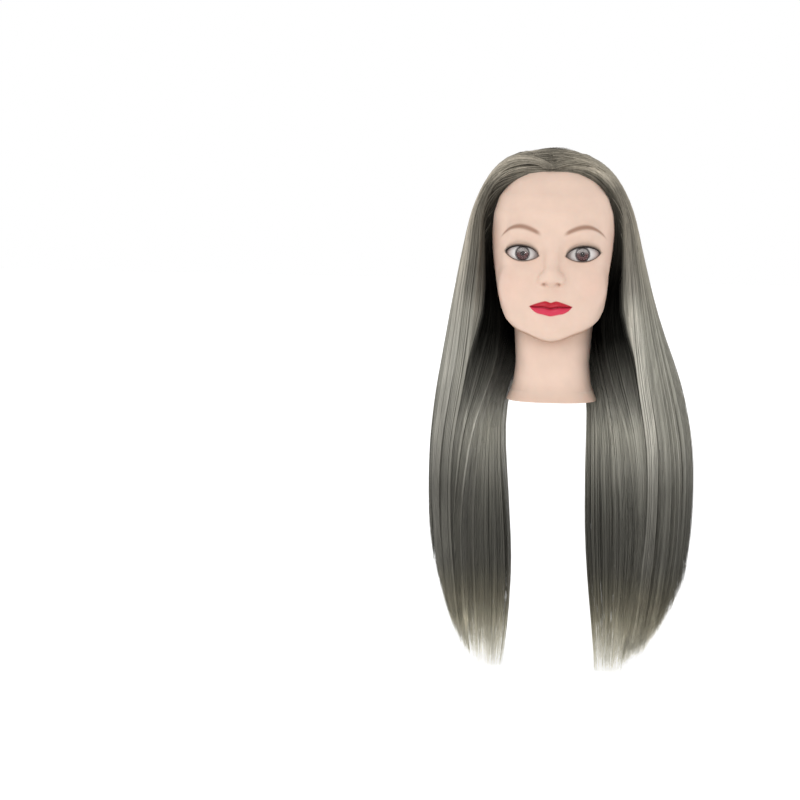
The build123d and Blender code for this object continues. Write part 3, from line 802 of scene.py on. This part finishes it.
def hang(place, depth, z, side):
    """A point of the hanging hair. place runs from the front lock's edge (0) round the outside to the
    curtain's inner edge (1), and depth from the outside (0) to the inside (1)."""
    outer, inner = hair_section(z, side), inner_section(z)
    lock, under = section(lock_edge, z)[0], section(under_edge, z)[0]
    lock = np.minimum(mix(lock, under, ramp(0.4, 0.75, depth)), 0.93 * outer[0])
    part = section(curtain_inner[side], z)[0]
    lock_angle = angle_at(outer, lock, -1)
    outer_x, outer_y = at_angle(outer, mix(lock_angle, angle_at(outer, part, 1), place))
    face_angle = angle_at(inner, np.minimum(lock, FACE_EDGE[side] * inner[0]), -1)
    against_x, against_y = at_angle(inner, mix(face_angle, np.pi / 2, place))

    # below the head the inside is a sheet from the lock's edge to the curtain's inner edge
    sheet_x = mix(lock + 4.0, part + 1.0, clamp((place - 0.12) / 0.88) ** 1.1)
    behind_lock = at_angle(outer, lock_angle)[1] + 10.0
    sheet_y = mix(behind_lock, 10.0 + 5.0 * np.sin(0.045 * lock + 1.0), ramp(0.0, 0.22, place))
    close = ramp(*NAPE, z)
    x = mix(outer_x, mix(sheet_x, against_x, close), depth)
    y = mix(outer_y, mix(sheet_y, against_y, close), depth)
    return np.stack([x, y, np.broadcast_to(z, x.shape)], -1)


def dome_reach(direction, inside):
    """Distance from the crown's centre to where a form ends, along each direction."""
    low = np.full(direction.shape[:-1], 20.0)
    high = np.full(direction.shape[:-1], 190.0)
    for _ in range(13):
        middle = 0.5 * (low + high)
        p = CROWN + middle[..., None] * direction
        within = inside(p[..., 0], p[..., 1], p[..., 2])
        low, high = np.where(within, middle, low), np.where(within, high, middle)
    return low


def in_head(x, y, z):
    head = (roundness(x, y, section(head_table, z)) < 1) & (z < HEAD_SECTIONS[-1][0])
    return head | ((roundness(x, y, section(neck_table, z)) < 1) & (z < NECK_SECTIONS[-1][0]))


def in_hair(side):
    """A test for being inside all the hair on one side."""
    return lambda x, y, z: (roundness(x, y, hair_section(z, side)) < 1) & (z < HAIR_SECTIONS[-1][0])


# ---- hair: strands ----
DOME_STEPS, HANG_STEPS = 13, 18
TEMPLE_Z = 175.0  # where strands from the top start to hang
EAR_Z = 95.0  # where the lowest strands of the hairline start to hang
FAN_LEAN = -0.09  # radians; the hair fans out from a little to the right of straight ahead
SLOW_RISE, FAST_RISE = 0.5, 0.14  # share of the dome over which strands rise to the layer they hang in
SHOULDER_BIAS = np.array([0.0, 0.36, 0.16])  # keeps strands from the front behind the arch of the hairline
HAIRLINE_STRANDS, FAN_STRANDS, PART_STRANDS, SCALP_STRANDS = 2500, 600, 3300, 1300
LOCKS = 190
TIP_MIDDLE, TIP_SPREAD = -284.0, 13.0  # height about which the strands end, and how unevenly
LONGEST_Z = -320.0
SHORT_SHARE, SHORTER_BY = 0.1, (10, 90)  # some strands end well above the others
INNER_LONGER = 26.0  # the strands along the curtains' inner edges reach further down
STRAIGHT_Z = -150.0  # below this the strands hang straighter than the hair's outline
STRAIGHT = 0.55
STRAND_R = 0.58
STRANDS_A_PIECE = 1050  # keeps a piece under 200,000 faces


def unit(v):
    return v / np.maximum(np.linalg.norm(v, axis=-1, keepdims=True), 1e-9)


def planned(root, place, depth, start_z, bias, layer, risen):
    """One row a strand: its root, its place and depth, the height where it starts to hang, its bias on the
    dome, its layer at the root, and how far along the dome it has risen to the layer that it hangs in."""
    columns = (place, depth, start_z, bias, layer, risen)
    return np.column_stack([root, *(np.broadcast_to(column, len(root)) for column in columns)])


def level_roots(turn, z):
    """Roots on the head at angles from straight ahead and heights."""
    return np.stack(ray_points(turn, cast(turn, z, 40), z), -1)


def hairline_strands(side):
    """Roots along the hairline. The top ones cross over to the locks, the lower ones run down from it."""
    n = HAIRLINE_STRANDS
    along = rng.beta(1.0, 1.15, n)
    first = math.degrees(side * FAN_LEAN) - 4.0
    turn = np.radians(np.interp(along, [0, 0.5, 0.62, 1.0], [first, 56, 64, 112]))
    set_back = np.abs(rng.normal(0, 1, n)) ** 1.3 * 3.0
    root = level_roots(turn + np.radians(0.55 * set_back), hairline(turn * side) + 0.4 * set_back)
    place = np.interp(along, [0, 0.2, 0.45, 1.0], [0.22, 0.10, 0.02, 0.06]) + np.abs(rng.normal(0, 0.06, n))
    depth = np.interp(along, [0, 0.3, 0.55, 1.0], [0.12, 0.35, 0.62, 0.92]) + rng.normal(0, 0.13, n)
    start_z = np.clip(root[:, 2] - 52.0 + rng.normal(0, 3, n), EAR_Z, TEMPLE_Z)
    bias = 1.5 * clamp(1 - along / 0.5)
    return planned(root, place, depth, start_z, bias, 0, SLOW_RISE)


def fan_strands(side):
    """Roots close together in the middle of the hairline. They rise over the top of the head and spread."""
    n = FAN_STRANDS
    turn = np.radians(rng.normal(math.degrees(side * FAN_LEAN), 5.0, n))
    root = level_roots(turn, hairline(turn * side) + 0.3 + np.abs(rng.normal(0, 1.5, n)))
    place = rng.uniform(0.05, 0.62, n)
    depth = rng.uniform(0, 0.18, n)
    bias = mix(1.1, 3.2, place / 0.62) + rng.normal(0, 0.12, n)
    return planned(root, place, depth, TEMPLE_Z, bias, 0.3, FAST_RISE)


def part_strands(side):
    """Roots near the midline, from the hairline over the crown to the back of the head."""
    n = PART_STRANDS
    s = rng.random(n) ** 1.15
    rise = np.radians(mix(57.0, 172.0, s))
    lean = rng.normal(0.0, 0.06, n) + side * FAN_LEAN * (1 - s)
    direction = unit(np.stack([lean, -np.cos(rise), np.sin(rise)], -1))
    layer = rng.uniform(0.0, 0.75, n) * ramp(0.0, 0.12, s)
    root = CROWN + dome_reach(direction, in_head)[:, None] * direction
    place = 0.04 + 0.98 * s ** 1.2 + rng.normal(0, 0.07, n)
    depth = rng.random(n) ** 1.2
    return planned(root, place, depth, TEMPLE_Z, clamp(1 - s / 0.5) * 0.9, layer, SLOW_RISE)


def scalp_strands():
    """Roots over the sides and back of the scalp, lying under the others."""
    n = SCALP_STRANDS
    turn = rng.uniform(62, 178, n)
    low = np.interp(turn, [62, 90, 115, 178], [50, 10, -25, -35])
    rise = np.radians(rng.uniform(low, 66, n))
    angle = np.radians(turn)
    direction = np.stack([np.sin(angle) * np.cos(rise), -np.cos(angle) * np.cos(rise), np.sin(rise)], -1)
    root = CROWN + dome_reach(direction, in_head)[:, None] * direction
    place = np.interp(turn, [62, 90, 178], [0.10, 0.36, 0.97]) + rng.normal(0, 0.05, n)
    depth = rng.uniform(0.35, 1.0, n)
    start_z = np.clip(root[:, 2] - 40.0, EAR_Z - 20.0, TEMPLE_Z)
    return planned(root, place, depth, start_z, 0, 0, SLOW_RISE)


def dome_paths(root, start, bias, root_layer, risen, side):
    """Over the dome of the head: directions from the crown's centre, bent past the hairline's shoulder."""
    first, last = unit(root - CROWN), unit(start - CROWN)
    between = unit(first + last + bias[:, None] * SHOULDER_BIAS)
    control = (2 * between - 0.5 * (first + last))[:, None]
    t = np.linspace(0, 1, DOME_STEPS)[None, :, None]
    direction = unit((1 - t) ** 2 * first[:, None] + 2 * t * (1 - t) * control + t ** 2 * last[:, None])
    scalp = dome_reach(direction, in_head)
    outside = np.maximum(dome_reach(direction, in_hair(side)), scalp + 1.0)
    layer_end = (np.linalg.norm(start - CROWN, axis=1) - scalp[:, -1]) / (outside[:, -1] - scalp[:, -1])
    rise = ramp(-0.03, risen[:, None], t[..., 0])
    layer = mix(root_layer[:, None], layer_end[:, None], rise)
    reach = scalp + 0.3 + layer * (outside - scalp - 0.3)
    path = CROWN + reach[..., None] * direction
    path[:, -1] = start
    return path


def tip_heights(lock, straight_x, side):
    """Uneven ends, longer along the curtain's inner edge and shorter where the hair's outline comes in."""
    count = len(lock)
    tip = TIP_MIDDLE + rng.normal(0, TIP_SPREAD, LOCKS)[lock] + rng.normal(0, TIP_SPREAD, count)
    tip = tip + np.where(rng.random(count) < SHORT_SHARE, rng.uniform(*SHORTER_BY, count), 0)
    levels, (right, left, _, _) = hair_table
    widths = left if side > 0 else -right
    share = np.clip(straight_x / np.interp(STRAIGHT_Z, levels, widths), 0, 0.995)
    tip = tip - INNER_LONGER * ramp(0.75, 0.32, share)
    limit = straight_x * STRAIGHT / (1 - share * (1 - STRAIGHT))
    below = (levels > -325) & (levels < STRAIGHT_Z)
    outline_z = np.interp(limit, widths[below], levels[below])
    return np.clip(np.maximum(tip, outline_z + rng.normal(2, 7, count)), LONGEST_Z, -40)


def hanging_paths(place, depth, start_z, lock, lock_place, lock_depth, side):
    """Below the temples: strands gather into their locks, hang straight further down, and sway a little."""
    count = len(place)
    wave = rng.uniform(0, 2 * np.pi, (LOCKS, 2))[lock]
    wave_size = rng.uniform(0.3, 1.4, LOCKS)[lock]
    straight_x = hang(place, depth, np.full(count, STRAIGHT_Z), side)[:, 0]
    tip = tip_heights(lock, straight_x, side)
    u = np.linspace(0, 1, HANG_STEPS + 1)[1:][None]
    z = start_z[:, None] + (tip - start_z)[:, None] * u
    gather = 0.4 * ramp(0.15, 1.0, u)
    path = hang(mix(place[:, None], lock_place[lock][:, None], gather),
                mix(depth[:, None], lock_depth[lock][:, None], 0.8 * gather), z, side)
    ease = STRAIGHT * ramp(STRAIGHT_Z + 30, STRAIGHT_Z - 30, z)
    path[..., 0] = mix(path[..., 0], straight_x[:, None], ease)
    sway = wave_size[:, None] * u
    path[..., 0] += sway * np.sin(z / 47.0 + wave[:, :1]) + rng.normal(0, 0.35, (count, 1))
    path[..., 1] += 0.8 * sway * np.sin(z / 39.0 + wave[:, 1:])
    return path


def strands(side):
    """Every strand's path on one side, with its place, its depth and how bright it is."""
    plan = np.concatenate([hairline_strands(side), fan_strands(side), part_strands(side), scalp_strands()])
    root, (place, depth, start_z, bias, root_layer, risen) = plan[:, :3], plan[:, 3:].T
    place, depth = clamp(place), clamp(np.abs(depth))

    # strands lie in locks that share a place, a shade and a wave
    lock_place, lock_depth = rng.random(LOCKS), rng.random(LOCKS)
    lock = np.argmin((place[:, None] - lock_place) ** 2 + 0.3 * (depth[:, None] - lock_depth) ** 2, axis=1)
    lock_bright = rng.normal(0, 1, LOCKS)[lock]
    over_dome = dome_paths(root, hang(place, depth, start_z, side), bias, root_layer, risen, side)
    hanging = hanging_paths(place, depth, start_z, lock, lock_place, lock_depth, side)
    path = np.concatenate([over_dome, hanging], axis=1)
    for _ in range(2):
        path[:, 1:-1] = 0.25 * path[:, :-2] + 0.5 * path[:, 1:-1] + 0.25 * path[:, 2:]
    path[..., 0] *= side
    return path, place, depth, 0.9 * lock_bright + rng.normal(0, 0.5, len(plan))


HAIR_DARK, HAIR_MID, HAIR_LIGHT = srgb(82, 79, 70), srgb(130, 128, 118), srgb(176, 173, 163)
WARM = np.array([1.07, 0.99, 0.91])  # the hair looks browner near its roots
TIP_WARM = np.array([1.05, 1.0, 0.87])  # and yellower just above its ends
SIDE_SHADE = {-1: 0.8, 1: 1.0}  # painted shade: the hair on the head's right is darker, above the neck's cut
EDGE_SHADE = {-1: 0.52, 1: 0.78}  # painted shade at the hair's outline, beside and below the neck's cut
# Painted light and shade by height, for the outer hair and for the hair beneath it: a painted highlight band
# near -30, painted shade lower down, and the hair beneath painted near black beside the neck.
# Both get lighter towards the ends.
END_TONE = ((-330, 3.6), (-302, 3.5), (-280, 3.0), (-262, 1.7), (-245, 0.95), (-222, 0.66))
OUTER_LIGHT_AND_SHADE = (
    *END_TONE, (-200, 0.5), (-150, 0.52), (-110, 0.7), (-62, 1.35), (-30, 1.75), (0, 1.4), (60, 1.38),
    (120, 1.45), (200, 1.5), (240, 1.34), (262, 1.36), (295, 1.4),
)
UNDER_LIGHT_AND_SHADE = (
    *END_TONE, (-200, 0.48), (-150, 0.48), (-110, 0.66), (-62, 1.35), (-32, 1.75), (-14, 1.15), (2, 0.62),
    (35, 0.25), (62, 0.03), (125, 0.01), (150, 0.04), (180, 0.13), (215, 0.4), (240, 0.75), (300, 1.1),
)


def lock_shade(place, z):
    """Painted shade: the front of each lock is darker beside the forehead."""
    beside = ramp(95, 140, z) * ramp(262, 235, z)
    return 1 - 0.62 * ramp(0.2, 0.04, place)[:, None] * beside


def hair_colours(path, place, depth, bright, side):
    """Colour and sheen of every point: each strand has its own tone, with painted light and shade by height,
    and painted shade on the hair beneath, on the head's right side, at the outline and beside the forehead.
    """
    t = np.linspace(0, 1, path.shape[1])[None]
    spread = mix(0.23, 0.1, ramp(0.12, 0.3, depth))
    shade = clamp(0.5 + spread * bright)[:, None]
    colour = mix(mix(HAIR_DARK, HAIR_MID, clamp(2 * shade)), HAIR_LIGHT, clamp(2 * shade - 1))
    z = path[..., 2]
    # painted light and shade by height, the hair beneath darker as painted shade
    outer, under = (np.interp(z, *np.array(tone).T) for tone in (OUTER_LIGHT_AND_SHADE, UNDER_LIGHT_AND_SHADE))
    tone = mix(outer, under, ramp(0.25, 0.5, depth)[:, None])
    tone = tone * mix(1.0, SIDE_SHADE[side], ramp(-30, 30, z))
    out = np.abs(path[..., 0]) / hair_section(z, side)[0]
    # painted shade at the hair's outline
    edge = ramp(0.5, 0.85, out) * ramp(40, -30, z) * ramp(-160, -90, z)
    tone = tone * mix(1.0, EDGE_SHADE[side], edge)
    tone = tone * lock_shade(place, z) * (1 - 0.3 * np.exp(-t / 0.04))
    warmth = mix(1.0, WARM, ramp(60, 220, z)[..., None])
    near_tips = ramp(-190, -230, z) * ramp(-290, -262, z)
    warmth = warmth * mix(1.0, TIP_WARM, near_tips[..., None])
    return colour[:, None] * warmth * tone[..., None], clamp(tone)


# Which of the side's three solids a strand belongs to: from one place to the next.
HAIR_ZONES = (("front", 0.0, 0.33), ("side", 0.33, 0.66), ("back", 0.66, 1.01))


def hair(side, tag):
    """The strands of one side, shared out among pieces for each of the side's three solids."""
    path, place, depth, bright = strands(side)
    t = np.linspace(0, 1, path.shape[1])[None]
    width = STRAND_R * np.minimum(1, 0.35 + 4.0 * t) * np.minimum(1, 0.08 + 2.2 * (1 - t) ** 0.85)
    width = width * np.exp(rng.normal(0, 0.2, (len(path), 1)))
    colours, sheen = hair_colours(path, place, depth, bright, side)
    facing = path - np.array([0.0, CROWN[1], 0.0])
    facing[..., 2] = np.maximum(path[..., 2] - TEMPLE_Z, 0)
    made = []
    for label, low, high in HAIR_ZONES:
        chosen = np.flatnonzero((place >= low) & (place < high))
        shares = math.ceil(len(chosen) / STRANDS_A_PIECE)
        for k in range(shares):
            some = chosen[k::shares]
            name = f"strands_{label}_{tag}_{k + 1}"
            piece = fibres(name, path[some], width[some], 0.62 * width[some], facing[some])
            paint(piece, np.repeat(colours[some].reshape(-1, 3), 3, axis=0))
            measure(piece, "sheen", np.repeat(sheen[some].ravel(), 3))
            if k == 0:
                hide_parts(f"hair_{label}_{tag}")
            made.append(piece)
    return made


# ---- materials ----
def material(name, settings):
    """A node material with the shader's own sockets set, and its node tree and shader."""
    made = bpy.data.materials.new(name)
    made.use_nodes = True
    tree = made.node_tree
    shader = tree.nodes["Principled BSDF"]
    for socket, value in settings.items():
        shader.inputs[socket].default_value = value
    return made, tree, shader


def node(tree, kind, values=None, links=None, **settings):
    """A shader node with settings of its own, and its sockets given values or links."""
    made = tree.nodes.new("ShaderNode" + kind)
    for name, value in settings.items():
        setattr(made, name, value)
    for socket, value in (values or {}).items():
        made.inputs[socket].default_value = value
    for socket, source in (links or {}).items():
        tree.links.new(source, made.inputs[socket])
    return made


def noise(tree, scale, detail, stretch=(1, 1, 1)):
    """Noise fixed to the object, with its scale in waves to the metre."""
    place = node(tree, "TexCoord").outputs["Object"]
    mapped = node(tree, "Mapping", {"Scale": stretch}, {"Vector": place}).outputs[0]
    return node(tree, "TexNoise", {"Scale": scale, "Detail": detail}, {"Vector": mapped}).outputs[0]


def ranged(tree, source, low, high):
    """Noise spread to a new range."""
    values = {"From Min": 0.3, "From Max": 0.7, "To Min": low, "To Max": high}
    return node(tree, "MapRange", values, {"Value": source}).outputs[0]


def sums(tree, operation, source, *values):
    """A source put through one step of arithmetic with fixed values."""
    fixed = dict(enumerate(values, 1))
    return node(tree, "Math", fixed, {0: source}, operation=operation).outputs[0]


def measured(tree, name):
    """The number that each point of the mesh has under a name."""
    return node(tree, "Attribute", attribute_name=name).outputs["Fac"]


def give_paint(tree, shader, variation):
    """The colours painted on the mesh, made lighter and darker by a value around 1."""
    colour = node(tree, "VertexColor", layer_name="paint").outputs["Color"]
    links = {0: colour, "Scale": variation}
    tinted = node(tree, "VectorMath", links=links, operation="SCALE").outputs[0]
    tree.links.new(tinted, shader.inputs["Base Color"])


def bump(tree, shader, height, distance, strength):
    raised = node(tree, "Bump", {"Distance": distance, "Strength": strength}, {"Height": height})
    tree.links.new(raised.outputs[0], shader.inputs["Normal"])


def vinyl():
    """Soft vinyl: faint mottling, a very fine moulded grain, a little light in the surface, glossier lips."""
    made, tree, shader = material("soft vinyl", {
        "IOR": 1.45, "Subsurface Weight": 0.12, "Subsurface Radius": (1.0, 0.36, 0.2),
        "Subsurface Scale": 0.005})
    mottle = noise(tree, 55, 4)
    give_paint(tree, shader, ranged(tree, mottle, 0.965, 1.03))
    links = {0: measured(tree, "gloss"), 2: ranged(tree, mottle, 0.46, 0.54)}
    rough = node(tree, "Math", {1: -0.24}, links, operation="MULTIPLY_ADD")
    tree.links.new(rough.outputs[0], shader.inputs["Roughness"])
    bump(tree, shader, noise(tree, 1500, 2), 0.00012, 0.35)
    return made


def eye_plastic(name, rough, specular):
    made, tree, shader = material(name, {"Roughness": rough, "Specular IOR Level": specular})
    give_paint(tree, shader, ranged(tree, noise(tree, 160, 3), 0.96, 1.04))
    return made


def clear_plastic():
    """The clear dome: see-through but for its reflections, which are stronger at a slant."""
    made, tree, shader = material("clear dome", {"Base Color": (1, 1, 1, 1), "Metallic": 1.0})
    slant = node(tree, "LayerWeight", {"Blend": 0.5}).outputs["Facing"]
    share = sums(tree, "MULTIPLY_ADD", sums(tree, "POWER", slant, 5.0), 0.5, 0.02)
    tree.links.new(share, shader.inputs["Alpha"])
    tree.links.new(ranged(tree, noise(tree, 300, 2), 0.02, 0.06), shader.inputs["Roughness"])
    return made


def fibre(name, rough, specular):
    """Straight synthetic fibre, its colour painted strand by strand and streaked along its length."""
    made, tree, shader = material(name, {"IOR": 1.5})
    shine = sums(tree, "MULTIPLY", measured(tree, "sheen"), specular)
    tree.links.new(shine, shader.inputs["Specular IOR Level"])
    streak = noise(tree, 260, 3, stretch=(1, 1, 0.035))
    give_paint(tree, shader, ranged(tree, streak, 0.82, 1.2))
    tree.links.new(ranged(tree, streak, rough - 0.05, rough + 0.07), shader.inputs["Roughness"])
    return made


def moulded(name, low, high, rough, grain):
    """Moulded plastic or foam between two tones."""
    made, tree, shader = material(name, {})
    cloud = noise(tree, grain, 4)
    tone = node(tree, "Mix", links={0: ranged(tree, cloud, 0, 1)}, data_type="RGBA")
    tone.inputs[6].default_value = (*low, 1)
    tone.inputs[7].default_value = (*high, 1)
    tree.links.new(tone.outputs[2], shader.inputs["Base Color"])
    tree.links.new(ranged(tree, cloud, rough - 0.06, rough + 0.06), shader.inputs["Roughness"])
    bump(tree, shader, cloud, 0.0004, 0.4)
    return made


def finish_with(piece, made):
    piece.data.materials.clear()
    piece.data.materials.append(made)


# ---- the pieces ----
skin = head_skin()
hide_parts("head_shell")
finish_with(skin, vinyl())
pieces = [skin]

white_look = eye_plastic("eye white", 0.2, 0.4)
iris_look = eye_plastic("iris", 0.4, 0.08)
clear_look = clear_plastic()
lash_look = fibre("lash fibre", 0.5, 0.3)
hair_look = fibre("hair fibre", 0.36, 0.5)
for side, tag in SIDES:
    for make, look in ((eye_white, white_look), (iris, iris_look), (cornea, clear_look)):
        piece = make(side, tag)
        finish_with(piece, look)
        pieces.append(piece)
    for lid in LASHES:
        piece = lashes(side, tag, lid)
        finish_with(piece, lash_look)
        pieces.append(piece)
    for piece in hair(side, tag):
        finish_with(piece, hair_look)
        pieces.append(piece)
for piece in pieces:
    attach(piece, "root")

finish_with(nodes["neck_plug"], moulded("plug plastic", srgb(226, 220, 208), srgb(210, 202, 188), 0.55, 220))
finish_with(nodes["post_socket"], moulded("socket plastic", srgb(60, 60, 62), srgb(44, 44, 46), 0.42, 320))
finish_with(nodes["foam_core"], moulded("rigid foam", srgb(232, 222, 180), srgb(214, 200, 150), 0.85, 500))


# ---- floor, light and camera ----
def stage_floor():
    low, reach = cad_low.z - 0.012, 12.0
    mesh = bpy.data.meshes.new("floor")
    corners = ((-reach, -reach), (reach, -reach), (reach, reach), (-reach, reach))
    mesh.from_pydata([(x, y, low) for x, y in corners], [], [(0, 1, 2, 3)])
    made, _, _ = material("pale floor", {
        "Base Color": (0.9, 0.9, 0.9, 1), "Roughness": 0.9, "Specular IOR Level": 0.1,
        "Emission Color": (1, 1, 1, 1), "Emission Strength": 0.3})
    mesh.materials.append(made)
    placed("floor", mesh)


def soft_light(name, place, aim, size, power):
    """A square lamp that faces a point, in metres and watts."""
    data = bpy.data.lights.new(name, "AREA")
    data.shape = "RECTANGLE"
    data.size = data.size_y = size
    data.energy = power
    lamp = placed(name, data)
    lamp.location = place
    lamp.rotation_mode = "QUATERNION"
    lamp.rotation_quaternion = (Vector(aim) - Vector(place)).to_track_quat("-Z", "Y")


def stage_light():
    world = bpy.data.worlds.new("white room")
    world.use_nodes = True
    back = world.node_tree.nodes["Background"]
    back.inputs["Color"].default_value = (1.0, 1.0, 1.0, 1)
    back.inputs["Strength"].default_value = 1.0
    bpy.context.scene.world = world
    soft_light("key", (-1.1, -2.1, 1.3), (0, 0, 0.1), 1.3, 9)
    soft_light("front", (0.35, -2.3, 0.42), (0, 0, 0.17), 0.32, 3.5)
    bpy.context.scene.view_settings.view_transform = "Standard"
    bpy.context.scene.view_settings.look = "None"


CAMERA_DISTANCE = 2200.0  # from the neck's axis
CAMERA_HEIGHT = 220.0
CAMERA_AZIMUTH = 2.0  # degrees towards the head's own left
CAMERA_ROLL = 1.0  # degrees, the head leans clockwise in the picture
FRAME_WIDTH = 928.0  # what the picture's width takes in at the neck
AIM_RIGHT, AIM_UP = -175.0, -3.2  # middle of the picture from the origin


def stage_camera():
    azimuth, roll = math.radians(CAMERA_AZIMUTH), math.radians(CAMERA_ROLL)
    level, up = Vector((math.cos(azimuth), math.sin(azimuth), 0)), Vector((0, 0, 1))
    rolled_right = level * math.cos(roll) + up * math.sin(roll)
    rolled_up = up * math.cos(roll) - level * math.sin(roll)
    place = Vector((math.sin(azimuth), -math.cos(azimuth), 0)) * CAMERA_DISTANCE
    place.z = CAMERA_HEIGHT
    aim = rolled_right * AIM_RIGHT + rolled_up * AIM_UP
    look = (aim - place).normalized()
    right = look.cross(rolled_up).normalized()
    axes = np.array([right, right.cross(look), -look]).T
    data = bpy.data.cameras.new("camera")
    data.sensor_width = 36.0
    data.lens = data.sensor_width * (aim - place).length / FRAME_WIDTH
    camera = placed("camera", data)
    camera.location = place * MM
    camera.rotation_mode = "QUATERNION"
    camera.rotation_quaternion = Matrix(axes.tolist()).to_quaternion()
    bpy.context.scene.camera = camera


stage_floor()
stage_light()
stage_camera()
